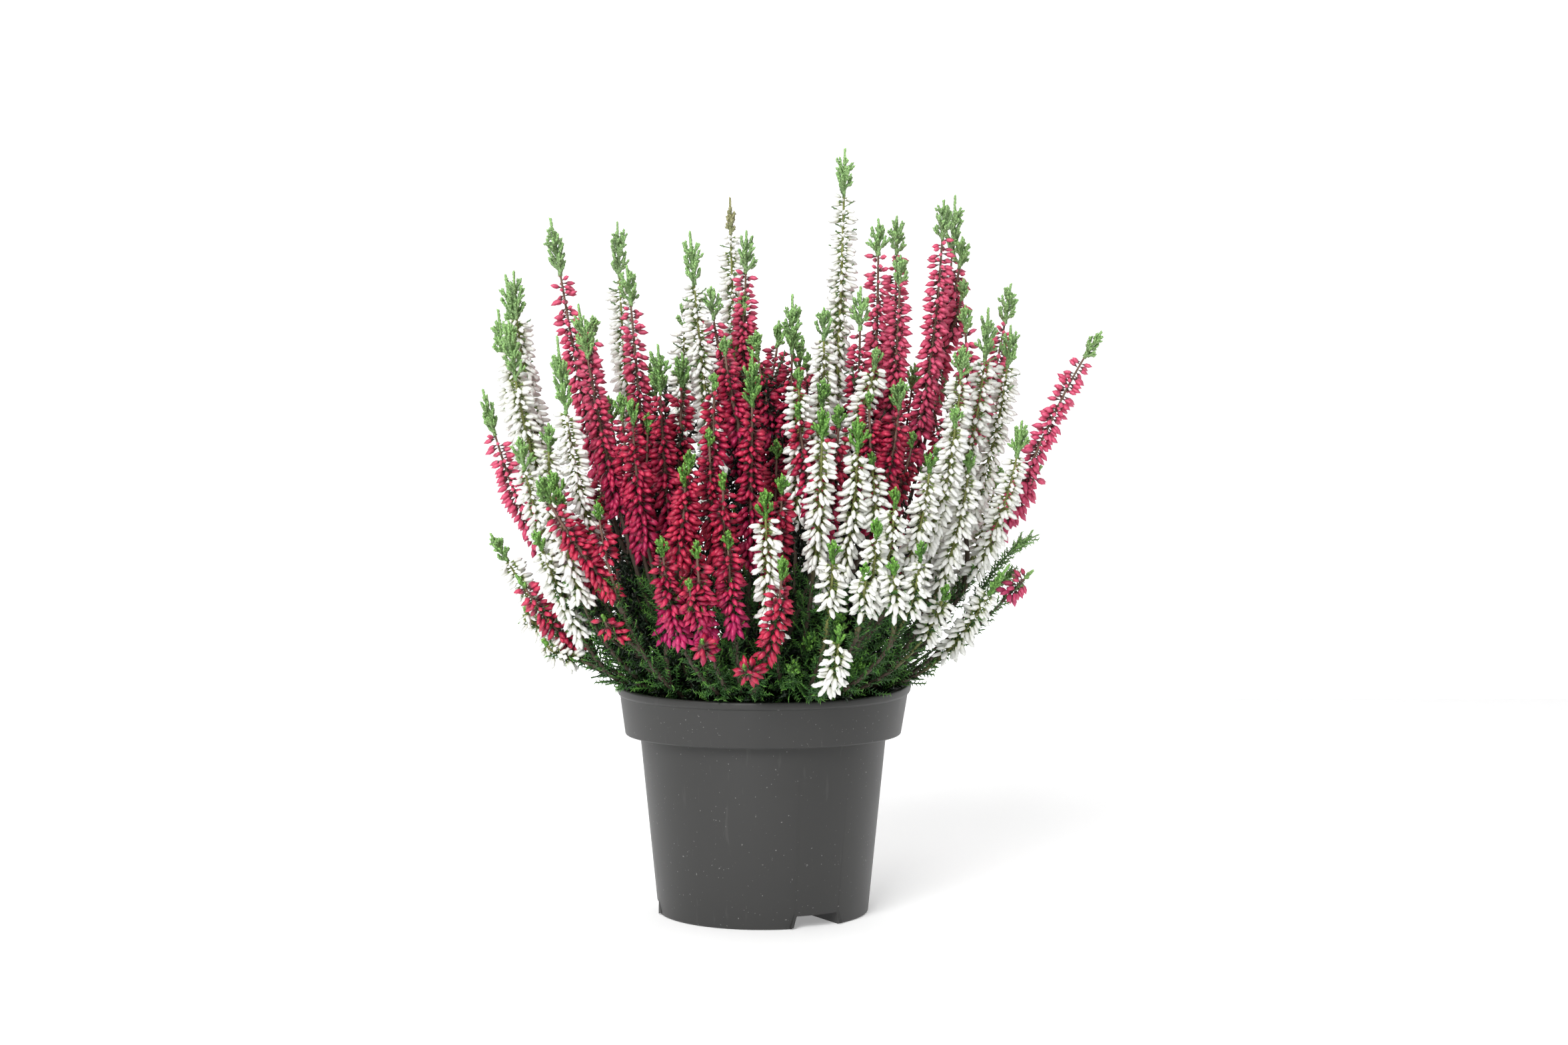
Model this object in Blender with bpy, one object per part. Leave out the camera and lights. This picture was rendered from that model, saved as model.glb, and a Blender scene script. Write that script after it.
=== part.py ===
"""A potted heather: red and white bud-flowering heather in a plain round plastic pot.

Lengths are millimetres and become metres where a mesh is made.
The origin is under the pot's axis on the surface that it stands on, +Z is up and -Y is the front.
"""
import math

import bpy
import numpy as np
from mathutils import Vector

for leftover in list(bpy.data.objects):
    bpy.data.objects.remove(leftover)

METRE = 0.001

POT_SIDES = 32
POT_HEIGHT = 85.0
POT_WALL = 1.2
RIM_RADIUS = 55.0
BEAD_HEIGHT = 2.4
BEAD_PROUD = 0.5
BAND_BOTTOM = 68.2
BAND_FOOT_RADIUS = 52.7
BODY_TOP_RADIUS = 47.0
BODY_FOOT_RADIUS = 40.2
GROOVE_ANGLES = (-60.0, 60.0, 180.0)
GROOVE_HALF_WIDTH = 10.0
GROOVE_SLANT = 1.5
GROOVE_HEIGHT = 4.8
GROOVE_START = 16.0
DRAIN_AT = 28.0
DRAIN_RADIUS = 3.7

CLEARANCE = 0.3
SOIL_TOP = 76.0
SOIL_BUMP = 0.8

TRUNK_RADIUS = 2.8
TRUNK_SIDES = 6
TRUNK_DEPTH = 13.0
TRUNK_STANDS = 6.0

STEM_RADIUS = 0.9
CHANNEL_RADIUS = 1.5
BUD_CORE = 2.9
BUD_REACH = 6.0
BUD_PITCH = 11.1
BUD_TURN = math.radians(22.5)
LEAF_CORE = 1.0
LEAF_REACH = 4.2
LEAF_PITCH = 7.5
SPRIG_REACH = 4.6
SPRIG_PITCH = 11.0
BRIDGE_SINK = 1.8
BRIDGE_RADIUS = 1.7

# The eye that the spikes' places were judged from: its distance from the pot's axis, side and height
EYE_DISTANCE = 903.0
EYE_X = 8.6
EYE_Z = 169.0

# Where each plant's trunk comes out of the soil: colour, x, y
PLANTS = {
    "red_heather_1": ("red", -22.0, -16.0),
    "red_heather_2": ("red", -7.0, -28.0),
    "red_heather_3": ("red", 24.0, 16.0),
    "red_heather_4": ("red", -17.0, 17.0),
    "white_heather_1": ("white", -35.0, 0.0),
    "white_heather_2": ("white", 10.0, -18.0),
    "white_heather_3": ("white", 33.0, -10.0),
    "white_heather_4": ("white", 2.0, 30.0),
}

# Each flowering spike as it is seen from the front: colour, x and z of its tip in the plane of the
# pot's axis, depth y, length of its leafy tip, length of its buds, outward lean of its end in degrees
SPIKES = (
    ("white", -103, 229, 12, 22, 60, 6),
    ("white", -97, 243, -4, 24, 62, 9),
    ("white", -95, 225, -34, 20, 52, 7),
    ("red", -81, 264, -6, 22, 80, 11),
    ("red", -73, 231, -36, 20, 60, 11),
    ("white", -78, 219, -50, 28, 58, 8),
    ("red", -64, 226, 20, 16, 60, 6),
    ("white", -58, 263, 30, 22, 60, 3),
    ("red", -52, 246, -6, 15, 75, 7),
    ("red", -105, 199, 4, 18, 48, 15),
    ("white", -97, 181, -42, 12, 50, 10),
    ("red", -84, 167, -58, 10, 40, 26),
    ("white", -75, 162, -66, 8, 38, 10),
    ("red", -57, 198, -46, 10, 52, 6),
    ("red", -49, 194, -64, 9, 46, 3),
    ("red", -64, 156, -76, 6, 36, 12),
    ("white", -104, 143, -14, 12, 44, 34),
    ("white", -89, 141, -52, 8, 38, 28),
    ("red", -90, 128, -40, 6, 34, 36),
    ("red", -37, 143, -86, 7, 36, 12),
    ("red", -26, 141, -90, 6, 34, 6),
    ("red", -14, 145, -84, 6, 34, 2),
    ("red", -4, 214, -62, 20, 60, 1),
    ("white", 0, 161, -88, 10, 48, 0),
    ("red", 9, 135, -90, 8, 40, -3),
    ("red", 8, 166, -76, 7, 40, 0),
    ("red", -13, 167, -74, 6, 42, 2),
    ("red", -22, 184, -64, 6, 46, 2),
    ("red", -32, 170, -78, 8, 44, 4),
    ("red", -38, 217, -40, 18, 60, 5),
    ("white", -28, 259, -18, 20, 72, 5),
    ("white", -13, 272, 14, 14, 66, 1),
    ("red", -6, 259, -4, 16, 78, 2),
    ("red", 11, 235, -22, 22, 60, 0),
    ("white", 14, 207, -50, 7, 50, -3),
    ("white", 21, 192, -76, 11, 50, 0),
    ("white", 35, 188, -72, 12, 48, -2),
    ("red", 28, 193, -58, 8, 44, 0),
    ("white", 23, 230, -30, 12, 55, 0),
    ("white", 31, 290, 2, 18, 88, 2),
    ("red", 37, 238, -24, 16, 65, 1),
    ("red", 43, 264, 6, 14, 75, 0),
    ("red", 51, 265, 24, 15, 75, 0),
    ("red", 53, 250, -10, 12, 70, 1),
    ("red", 52, 203, -52, 11, 50, 1),
    ("red", 69, 271, -4, 15, 86, 2),
    ("red", 73, 273, 20, 24, 70, 2),
    ("white", 74, 216, -30, 12, 60, 2),
    ("white", 86, 231, -10, 20, 70, 2),
    ("red", 96, 239, 22, 16, 50, 8),
    ("white", 96, 222, 4, 16, 64, 3),
    ("white", 99, 187, -16, 14, 50, 6),
    ("red", 129, 221, 0, 12, 78, 36),
    ("white", 72, 194, -52, 8, 48, 1),
    ("white", 62, 174, -66, 7, 40, 2),
    ("white", 81, 175, -42, 8, 48, 3),
    ("white", 52, 162, -78, 7, 38, 2),
    ("white", 42, 150, -84, 7, 36, -2),
    ("white", 58, 141, -78, 7, 34, -3),
    ("white", 25, 141, -86, 8, 38, -2),
    ("white", 28, 108, -90, 6, 26, 2),
    ("white", 70, 124, -58, 6, 32, 18),
    ("white", 94, 131, -26, 14, 38, 38),
    ("red", 103, 129, -2, 4, 26, 46),
)

# Leafy shoots without buds that reach out at the right: x and z of the tip as seen, depth, lean
LEAFY = (
    (101, 142, -8, 62),
    (93, 130, 14, 55),
)

# The far side, which the front hides, carries three rows of spikes: how many, how far out, how high
BACK_ROWS = ((6, 84.0, 170.0), (4, 55.0, 208.0), (4, 27.0, 226.0))
BACK_COLOURS = ("white", "red", "red", "white", "red")

SPRIG_COUNT = 25
SPRIG_LEAF = 36.0
SPRIG_FOOT = 8.0
GOLDEN_ANGLE = math.radians(137.508)

SAMPLES = 24
BUD_NODES = 50
MOST_JOINED = 4
JOINED_NEAR = 10.6
JOINED_WANTED = 11.2
ROUNDS = 180
RECHECK = 10
SHOOT_GAP = 1.3


def real_place(x, z, y):
    """The place at depth y that is seen at x, z in the plane of the pot's axis."""
    spread = (EYE_DISTANCE + y) / EYE_DISTANCE
    return np.array((EYE_X + (x - EYE_X) * spread, y, EYE_Z + (z - EYE_Z) * spread))


def nearest_plant(colour, tip):
    """The plant of that colour whose trunk stands best under a tip."""
    def miss(name):
        kind, x, y = PLANTS[name]
        far = math.hypot(tip[0] * 0.3 - x, tip[1] * 0.3 - y)
        return far if colour in (kind, "any") else far + 1000.0
    return min(PLANTS, key=miss)


def hermite(start, end, start_pull, end_pull, count):
    """Evenly spaced points on a curve that leaves start and reaches end along the two pulls."""
    t = np.linspace(0.0, 1.0, 200)[:, None]
    curve = ((2 * t ** 3 - 3 * t ** 2 + 1) * start + (t ** 3 - 2 * t ** 2 + t) * start_pull
             + (3 * t ** 2 - 2 * t ** 3) * end + (t ** 3 - t ** 2) * end_pull)
    return resample(curve, np.linspace(0.0, path_length(curve), count))


def path_length(points):
    return float(np.linalg.norm(np.diff(points, axis=0), axis=1).sum())


def resample(points, stations):
    """Points at the given lengths along a path."""
    steps = np.linalg.norm(np.diff(points, axis=0), axis=1)
    along = np.concatenate(((0.0,), np.cumsum(steps)))
    return np.stack([np.interp(stations, along, points[:, axis]) for axis in range(3)], axis=1)


def shoot_path(plant, tip, lean):
    """A shoot's curve: it fans out of its trunk, then turns up to its lean at the tip."""
    _, root_x, root_y = PLANTS[plant]
    flat = np.array((tip[0] - root_x, tip[1] - root_y, 0.0))
    outward = flat / max(np.linalg.norm(flat), 1e-6)
    slope = math.degrees(math.atan2(np.linalg.norm(flat), tip[2] - SOIL_TOP))
    start = np.array((root_x, root_y, SOIL_TOP + TRUNK_STANDS * (0.85 - 0.6 * slope / 90.0)))
    start += 0.6 * TRUNK_RADIUS * outward
    chord = tip - start
    reach = float(np.linalg.norm(chord))
    leave = math.radians(min(82.0, 5.0 + 1.65 * slope))
    pull = reach * (1.0 + 0.5 * min(slope, 60.0) / 60.0)
    up = np.array((0.0, 0.0, 1.0))
    start_pull = pull * (outward * math.sin(leave) + up * math.cos(leave))
    end_lean = math.radians(lean)
    end_pull = 0.9 * reach * (outward * math.sin(end_lean) + up * math.cos(end_lean))
    return hermite(start, tip, start_pull, end_pull, SAMPLES)


def list_shoots():
    """Every shoot: its colour, plant, path, and the lengths of its leafy tip and of its buds."""
    shoots = []
    for colour, x, z, y, leaf, buds, lean in SPIKES:
        tip = real_place(x, z, y)
        plant = nearest_plant(colour, tip)
        shoots.append(dict(colour=colour, plant=plant, leaf=leaf, buds=buds,
                           path=shoot_path(plant, tip, lean)))
    for x, z, y, lean in LEAFY:
        tip = real_place(x, z, y)
        plant = nearest_plant("any", tip)
        shoots.append(dict(colour="leaf", plant=plant, leaf=SPRIG_LEAF, buds=0.0,
                           path=shoot_path(plant, tip, lean)))
    number = 0
    for count, radius, height in BACK_ROWS:
        for i in range(count):
            turn = math.radians(14.0 + 152.0 * i / (count - 1))
            tip = np.array((1.12 * radius * math.cos(turn), radius * math.sin(turn),
                            height + 12.0 * math.sin(2.6 * number)))
            colour = BACK_COLOURS[number % len(BACK_COLOURS)]
            plant = nearest_plant(colour, tip)
            shoots.append(dict(colour=colour, plant=plant, leaf=10.0 + 3.0 * (number % 3),
                               buds=46.0 + 5.0 * (number % 4), path=shoot_path(plant, tip, 8.0)))
            number += 1
    for i in range(SPRIG_COUNT):
        turn = GOLDEN_ANGLE * i + 0.2
        radius = 34.0 + 13.0 * (i % 4)
        tip = np.array((radius * math.cos(turn), radius * math.sin(turn), 96.0 + 7.0 * (i % 5)))
        plant = nearest_plant("any", tip)
        shoots.append(dict(colour="leaf", plant=plant, leaf=SPRIG_LEAF, buds=0.0,
                           path=shoot_path(plant, tip, 40.0)))
    return shoots


def budded_points(shoot):
    """Points along the middle of a spike's buds."""
    length = path_length(shoot["path"])
    top = length - shoot["leaf"]
    return resample(shoot["path"], np.linspace(top - shoot["buds"] + 3.0, top - 3.0, 12))


def pick_links(shoots):
    """Neighbouring spikes of one colour, nearest first, whose buds touch and grow into one body."""
    spikes = [i for i, shoot in enumerate(shoots) if shoot["buds"]]
    middles = {i: budded_points(shoots[i]) for i in spikes}
    options = []
    for a in spikes:
        for b in spikes:
            if a < b and shoots[a]["colour"] == shoots[b]["colour"]:
                gap = np.linalg.norm(middles[a][:, None] - middles[b][None], axis=2).min()
                options.append((float(gap), a, b))
    group = {i: {i} for i in spikes}
    left = len(spikes)
    links = []
    for _, a, b in sorted(options):
        if left <= BUD_NODES:
            break
        if group[a] is group[b] or len(group[a]) + len(group[b]) > MOST_JOINED:
            continue
        joined = group[a] | group[b]
        for member in joined:
            group[member] = joined
        links.append((a, b))
        left -= 1
    return links


def zones(shoots):
    """For each stretch between two samples of each shoot, its radius and whether it carries buds."""
    count = SAMPLES - 1
    radius = np.full((len(shoots), count), STEM_RADIUS)
    in_buds = np.zeros((len(shoots), count), bool)
    for i, shoot in enumerate(shoots):
        length = path_length(shoot["path"])
        low = length * np.arange(count) / count
        high = low + length / count
        top = length - shoot["leaf"]
        leafy = high > top - 0.5
        radius[i, leafy] = LEAF_REACH if shoot["buds"] else SPRIG_REACH
        if shoot["buds"]:
            budded = (high > top - shoot["buds"] - 1.5) & (low < top + 2.0)
            radius[i, budded] = BUD_REACH
            in_buds[i] = budded
    return radius, in_buds


def part_shoots(shoots, links):
    """Bend the shoots clear of each other, most of all in depth, and draw linked spikes together."""
    radius, in_buds = zones(shoots)
    plants = sorted(PLANTS)
    plant = np.array([plants.index(shoot["plant"]) for shoot in shoots])
    linked = np.zeros((len(shoots), len(shoots)), bool)
    for a, b in links:
        linked[a, b] = linked[b, a] = True
    rest = np.stack([shoot["path"] for shoot in shoots])
    moved = np.zeros_like(rest)
    give = np.array((0.6, 1.0, 0.25))
    for turn in range(ROUNDS):
        if turn % RECHECK == 0:
            contacts = near_stretches(rest + moved, radius, in_buds, plant, linked)
        push_apart(rest + moved, moved, contacts, give)
        for a, b in links:
            draw_together(rest, moved, in_buds, a, b)
        keep_above_pot(rest, moved, radius)
        moved[:, 0] = 0.0
        for _ in range(2):
            middle = (moved[:, :-2] + moved[:, 2:]) / 2
            moved[:, 1:-1] += 0.4 * (middle - moved[:, 1:-1])
            moved[:, -1] += 0.4 * (moved[:, -2] - moved[:, -1])
    for shoot, path in zip(shoots, rest + moved):
        shoot["path"] = path


def near_stretches(place, radius, in_buds, plant, linked):
    """Pairs of stretches that are or may come too close, and how far apart each pair has to be."""
    shoots, count = radius.shape
    middle = ((place[:, :-1] + place[:, 1:]) / 2).reshape(-1, 3)
    half = (np.linalg.norm(place[:, 1:] - place[:, :-1], axis=2) / 2).ravel()
    owner = np.repeat(np.arange(shoots), count)
    wide = radius.ravel()
    budded = in_buds.ravel()
    found_a = []
    found_b = []
    for shoot in range(shoots - 1):
        rows = np.arange(shoot * count, (shoot + 1) * count)
        others = np.arange((shoot + 1) * count, shoots * count)
        gap = np.linalg.norm(middle[rows, None] - middle[None, others], axis=2)
        reach = (wide + half)[rows, None] + (wide + half)[None, others] + 3.0
        a, b = np.nonzero(gap < reach)
        found_a.append(rows[a])
        found_b.append(others[b])
    a = np.concatenate(found_a)
    b = np.concatenate(found_b)
    need = wide[a] + wide[b] + SHOOT_GAP
    need[(plant[owner[a]] == plant[owner[b]]) & ~budded[a] & ~budded[b]] = 0.0
    need[linked[owner[a], owner[b]] & budded[a] & budded[b]] = JOINED_NEAR
    keep = need > 0.0
    a = a[keep]
    b = b[keep]
    return owner[a], a % count, owner[b], b % count, need[keep]


def push_apart(place, moved, contacts, give):
    """Move both stretches of each pair that is too close away from each other."""
    one, i, two, j, need = contacts
    start_a = place[one, i]
    start_b = place[two, j]
    along_a = place[one, i + 1] - start_a
    along_b = place[two, j + 1] - start_b
    between = start_a - start_b
    aa = (along_a ** 2).sum(axis=1)
    bb = (along_b ** 2).sum(axis=1)
    ab = (along_a * along_b).sum(axis=1)
    ra = (along_a * between).sum(axis=1)
    rb = (along_b * between).sum(axis=1)
    spread = np.maximum(aa * bb - ab ** 2, 1e-9)
    s = np.clip((ab * rb - ra * bb) / spread, 0.0, 1.0)
    t = np.clip((ab * s + rb) / bb, 0.0, 1.0)
    s = np.clip((ab * t - ra) / aa, 0.0, 1.0)
    away = (start_a + s[:, None] * along_a) - (start_b + t[:, None] * along_b)
    far = np.maximum(np.linalg.norm(away, axis=1), 1e-6)
    short = np.maximum(need - far, 0.0)
    push = away / far[:, None] * (0.3 * short)[:, None] * give
    np.add.at(moved, (one, i), push * (1.0 - s)[:, None])
    np.add.at(moved, (one, i + 1), push * s[:, None])
    np.add.at(moved, (two, j), -push * (1.0 - t)[:, None])
    np.add.at(moved, (two, j + 1), -push * t[:, None])


def draw_together(rest, moved, in_buds, a, b):
    """Shift two spikes' budded stretches towards each other until they nearly touch."""
    rows_a = np.append(in_buds[a], False)
    rows_b = np.append(in_buds[b], False)
    one = (rest[a] + moved[a])[rows_a]
    two = (rest[b] + moved[b])[rows_b]
    gap = np.linalg.norm(one[:, None] - two[None], axis=2)
    i, j = np.unravel_index(np.argmin(gap), gap.shape)
    excess = gap[i, j] - JOINED_WANTED
    if excess > 0.0:
        shift = (two[j] - one[i]) / gap[i, j] * excess * 0.05
        moved[a][rows_a] += shift
        moved[b][rows_b] -= shift


def keep_above_pot(rest, moved, radius):
    """Lift what would touch the soil or the pot's rim."""
    place = rest + moved
    wide = np.concatenate((radius[:, :1], radius), axis=1)
    out = np.hypot(place[:, :, 0], place[:, :, 1])
    over_rim = (out > 46.0) & (out < 64.0)
    floor = np.where(over_rim, POT_HEIGHT + 1.0, SOIL_TOP + 1.6) + wide
    low = np.maximum(floor - place[:, :, 2], 0.0)
    low[:, :2] = 0.0
    low[out >= 64.0] = 0.0
    moved[:, :, 2] += low


def carry_frame(points):
    """Tangents and steady side directions along a path."""
    ahead = np.gradient(points, axis=0)
    tangents = ahead / np.linalg.norm(ahead, axis=1)[:, None]
    side = np.cross(tangents[0], (0.31, 0.95, 0.02))
    sides = []
    for tangent in tangents:
        side = side - tangent * np.dot(side, tangent)
        side = side / np.linalg.norm(side)
        sides.append(side)
    sides = np.array(sides)
    return tangents, sides, np.cross(tangents, sides)


class Line:
    """A path of straight stretches, with a steady frame to set rings on."""

    def __init__(self, points):
        self.points = np.array(points)
        steps = np.linalg.norm(np.diff(self.points, axis=0), axis=1)
        self.along = np.concatenate(((0.0,), np.cumsum(steps)))
        self.tangents, self.sides, self.others = carry_frame(self.points)

    def mix(self, values, station):
        return np.array([np.interp(station, self.along, values[:, axis]) for axis in range(3)])

    def ring(self, station, radius, sides, turn=0.0):
        """The corners of a ring across the line, anticlockwise seen from its far end."""
        centre = self.mix(self.points, station)
        side = self.mix(self.sides, station)
        other = self.mix(self.others, station)
        corners = []
        for k in range(sides):
            angle = turn + 2 * math.pi * k / sides
            corners.append(centre + radius * (math.cos(angle) * side + math.sin(angle) * other))
        return corners

    def spot(self, station, radius, angle):
        return self.ring(station, radius, 1, angle)[0]


class Shell:
    """Vertices and faces of one mesh that is being put together."""

    def __init__(self):
        self.points = []
        self.faces = []

    def add(self, corners):
        start = len(self.points)
        self.points.extend(corners)
        return list(range(start, start + len(corners)))

    def plain_band(self, lower, upper):
        count = len(lower)
        for k in range(count):
            n = (k + 1) % count
            self.faces.append((lower[k], lower[n], upper[n]))
            self.faces.append((lower[k], upper[n], upper[k]))

    def peaked_band(self, lower, upper, peaks):
        """A band whose every cell is raised to a peak."""
        count = len(lower)
        for k in range(count):
            n = (k + 1) % count
            cell = (lower[k], lower[n], upper[n], upper[k])
            for c in range(4):
                self.faces.append((cell[c], cell[(c + 1) % 4], peaks[k]))

    def object(self, name, material):
        mesh = bpy.data.meshes.new(name)
        mesh.from_pydata([tuple(point * METRE) for point in self.points], [], self.faces)
        made = bpy.data.objects.new(name, mesh)
        bpy.context.scene.collection.objects.link(made)
        made.data.materials.append(material)
        return made


def spread_ring_faces(shell, outer, inner, turn, flip):
    """Fill the flat end between a ring that is turned and one with fewer corners that isn't."""
    full = 2 * math.pi
    skip = round(turn * len(outer) / full)
    outer = [outer[(k - skip) % len(outer)] for k in range(len(outer))]
    turn -= skip * full / len(outer)
    i = 0
    j = 0
    while i < len(outer) or j < len(inner):
        next_outer = turn + full * (i + 1) / len(outer)
        next_inner = full * (j + 1) / len(inner)
        a = outer[i % len(outer)]
        b = inner[j % len(inner)]
        if j >= len(inner) or (i < len(outer) and next_outer <= next_inner):
            face = (a, outer[(i + 1) % len(outer)], b)
            i += 1
        else:
            face = (a, inner[(j + 1) % len(inner)], b)
            j += 1
        shell.faces.append(face[::-1] if flip else face)


def bends(path, start, end, slack):
    """Lengths along a path, with start and end, at which straight stretches stay within slack of it."""
    inner = np.linspace(start, end, 12)[1:-1]
    points = resample(path, inner)
    first, last = resample(path, [start, end])
    chord = (last - first) / max(np.linalg.norm(last - first), 1e-6)
    offset = points - first
    miss = np.linalg.norm(offset - (offset @ chord)[:, None] * chord, axis=1)
    worst = int(np.argmax(miss))
    if miss[worst] < slack or end - start < 10.0:
        return [start, end]
    return bends(path, start, inner[worst], slack)[:-1] + bends(path, inner[worst], end, slack)


def bud_line(shoot):
    """The straight stretches that a spike's stem and the channel through its buds share."""
    path = shoot["path"]
    length = path_length(path)
    top = length - shoot["leaf"]
    foot = top - shoot["buds"]
    low = bends(path, 0.0, foot, 0.8)[:-1]
    middle = bends(path, foot, top, 0.8)
    stations = low + middle + [length]
    return Line(resample(path, stations)), len(low), len(low) + len(middle) - 1


def bud_sleeve(shoot, seed):
    """One spike's buds: peaked cells round a slim core, with a channel for the stem."""
    line, first, last = bud_line(shoot)
    foot = line.along[first]
    top = line.along[last]
    bands = max(2, round((top - foot) / BUD_PITCH))
    draw = np.random.default_rng(seed)
    shell = Shell()
    rings = []
    for k in range(bands + 1):
        at_end = k in (0, bands)
        radius = BUD_CORE * (0.93 if at_end else 1.0)
        station = foot + (top - foot) * k / bands
        rings.append(shell.add(line.ring(station, radius, 4, BUD_TURN * k)))
    for k in range(bands):
        share = (k + 0.5) / bands
        reach = BUD_REACH * (1.0 - 0.28 * share ** 3)
        rise = BUD_PITCH * (0.5 + 0.42 * (share - 0.45))
        peaks = []
        for c in range(4):
            angle = BUD_TURN * (k + 0.5) + 2 * math.pi * (c + 0.5) / 4
            station = foot + (top - foot) * k / bands + rise * draw.uniform(0.85, 1.15)
            station = min(max(station, foot - 1.0), top + 2.0)
            peaks.append(line.spot(station, reach * draw.uniform(0.9, 1.0), angle))
        shell.peaked_band(rings[k], rings[k + 1], shell.add(peaks))
    channel = []
    for k in range(first, last + 1):
        channel.append(shell.add(line.ring(line.along[k], CHANNEL_RADIUS, 3)))
    for lower, upper in zip(channel, channel[1:]):
        shell.plain_band(lower[::-1], upper[::-1])
    spread_ring_faces(shell, rings[0], channel[0], 0.0, True)
    spread_ring_faces(shell, rings[-1], channel[-1], BUD_TURN * bands, False)
    return shell


def stem_and_tip(shoot, seed):
    """A shoot's stem with its leafy tip, three sided all the way."""
    draw = np.random.default_rng(seed)
    if shoot["buds"]:
        line, _, last = bud_line(shoot)
        leaf_foot = line.along[last] + 1.2
        pitch = LEAF_PITCH
        reach = LEAF_REACH
    else:
        length = path_length(shoot["path"])
        line = Line(resample(shoot["path"], bends(shoot["path"], 0.0, length, 0.6)))
        leaf_foot = max(line.along[-1] - shoot["leaf"], SPRIG_FOOT)
        pitch = SPRIG_PITCH
        reach = SPRIG_REACH
    top = line.along[-1]
    leader = min(7.0, 0.35 * (top - leaf_foot))
    bands = max(1, round((top - leaf_foot - leader) / pitch))
    shell = Shell()
    rings = []
    for station in line.along:
        if station < leaf_foot - 1.0:
            rings.append(shell.add(line.ring(station, STEM_RADIUS, 3)))
    for lower, upper in zip(rings, rings[1:]):
        shell.plain_band(lower, upper)
    leaf_rings = []
    for k in range(bands + 1):
        station = leaf_foot + (top - leader - leaf_foot) * k / bands
        leaf_rings.append(shell.add(line.ring(station, LEAF_CORE, 3, 0.35 * k)))
    shell.plain_band(rings[-1], leaf_rings[0])
    for k in range(bands):
        share = (k + 0.5) / bands
        peaks = []
        for c in range(3):
            station = leaf_foot + (top - leader - leaf_foot) * (k + 1.05 + 0.2 * draw.uniform(-1, 1)) / bands
            spread = reach * (1.0 - 0.35 * share) * draw.uniform(0.85, 1.0)
            angle = 0.35 * (k + 0.5) + 2 * math.pi * (c + 0.5) / 3
            peaks.append(line.spot(min(station, top - 1.0), spread, angle))
        shell.peaked_band(leaf_rings[k], leaf_rings[k + 1], shell.add(peaks))
    point = shell.add([line.mix(line.points, top)])[0]
    last_ring = leaf_rings[-1]
    for k in range(3):
        shell.faces.append((last_ring[k], last_ring[(k + 1) % 3], point))
    shell.faces.append(tuple(rings[0][::-1]))
    return shell


def bridge_bud(one, two):
    """A bud that lies between two spikes' walls where they come nearest."""
    fine_one = Line(one)
    fine_two = Line(two)
    gap = np.linalg.norm(fine_one.points[:, None] - fine_two.points[None], axis=2)
    i, j = np.unravel_index(np.argmin(gap), gap.shape)
    a = fine_one.points[i]
    b = fine_two.points[j]
    across = (b - a) / np.linalg.norm(b - a)
    start = a + across * BRIDGE_SINK
    end = b - across * BRIDGE_SINK
    side = np.cross(across, (0.0, 0.0, 1.0))
    side = side / np.linalg.norm(side)
    other = np.cross(across, side)
    middle = (start + end) / 2
    shell = Shell()
    belt = shell.add([middle + BRIDGE_RADIUS * (math.cos(t) * side + math.sin(t) * other)
                      for t in (0.0, math.pi / 2, math.pi, 3 * math.pi / 2)])
    low, high = shell.add([start, end])
    for k in range(4):
        n = (k + 1) % 4
        shell.faces.append((belt[k], belt[n], high))
        shell.faces.append((belt[n], belt[k], low))
    return shell


def surface(name, colour, roughness):
    """A plain coloured finish; the colour is in linear red, green and blue."""
    material = bpy.data.materials.new(name)
    material.use_nodes = True
    shader = material.node_tree.nodes["Principled BSDF"]
    shader.inputs["Base Color"].default_value = (*colour, 1.0)
    shader.inputs["Roughness"].default_value = roughness
    shader.inputs["Metallic"].default_value = 0.0
    return material


def boolean(target, operation, tools, solver="EXACT"):
    """Apply one Boolean with a collection of tools to target, then remove the tools."""
    group = bpy.data.collections.new("tools")
    for tool in tools:
        group.objects.link(tool)
    modifier = target.modifiers.new("cut", "BOOLEAN")
    modifier.operation = operation
    modifier.solver = solver
    modifier.operand_type = "COLLECTION"
    modifier.collection = group
    bpy.context.view_layer.update()
    graph = bpy.context.evaluated_depsgraph_get()
    mesh = bpy.data.meshes.new_from_object(target.evaluated_get(graph))
    target.modifiers.clear()
    target.data = mesh
    for tool in tools:
        bpy.data.objects.remove(tool)
    bpy.data.collections.remove(group)
    return target


def turned(name, profile, material):
    """A solid turned round the Z axis from a profile of radius and height that ends on the axis."""
    shell = Shell()
    rings = []
    for radius, height in profile:
        if radius < 1e-6:
            rings.append(shell.add([np.array((0.0, 0.0, height))]))
            continue
        corners = []
        for k in range(POT_SIDES):
            angle = 2 * math.pi * (k + 0.5) / POT_SIDES
            corners.append(np.array((radius * math.cos(angle), radius * math.sin(angle), height)))
        rings.append(shell.add(corners))
    for lower, upper in zip(rings, rings[1:]):
        for k in range(POT_SIDES):
            n = (k + 1) % POT_SIDES
            if len(lower) == 1:
                shell.faces.append((lower[0], upper[n], upper[k]))
            elif len(upper) == 1:
                shell.faces.append((lower[k], lower[n], upper[0]))
            else:
                shell.faces.append((lower[k], lower[n], upper[n], upper[k]))
    return shell.object(name, material)


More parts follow.
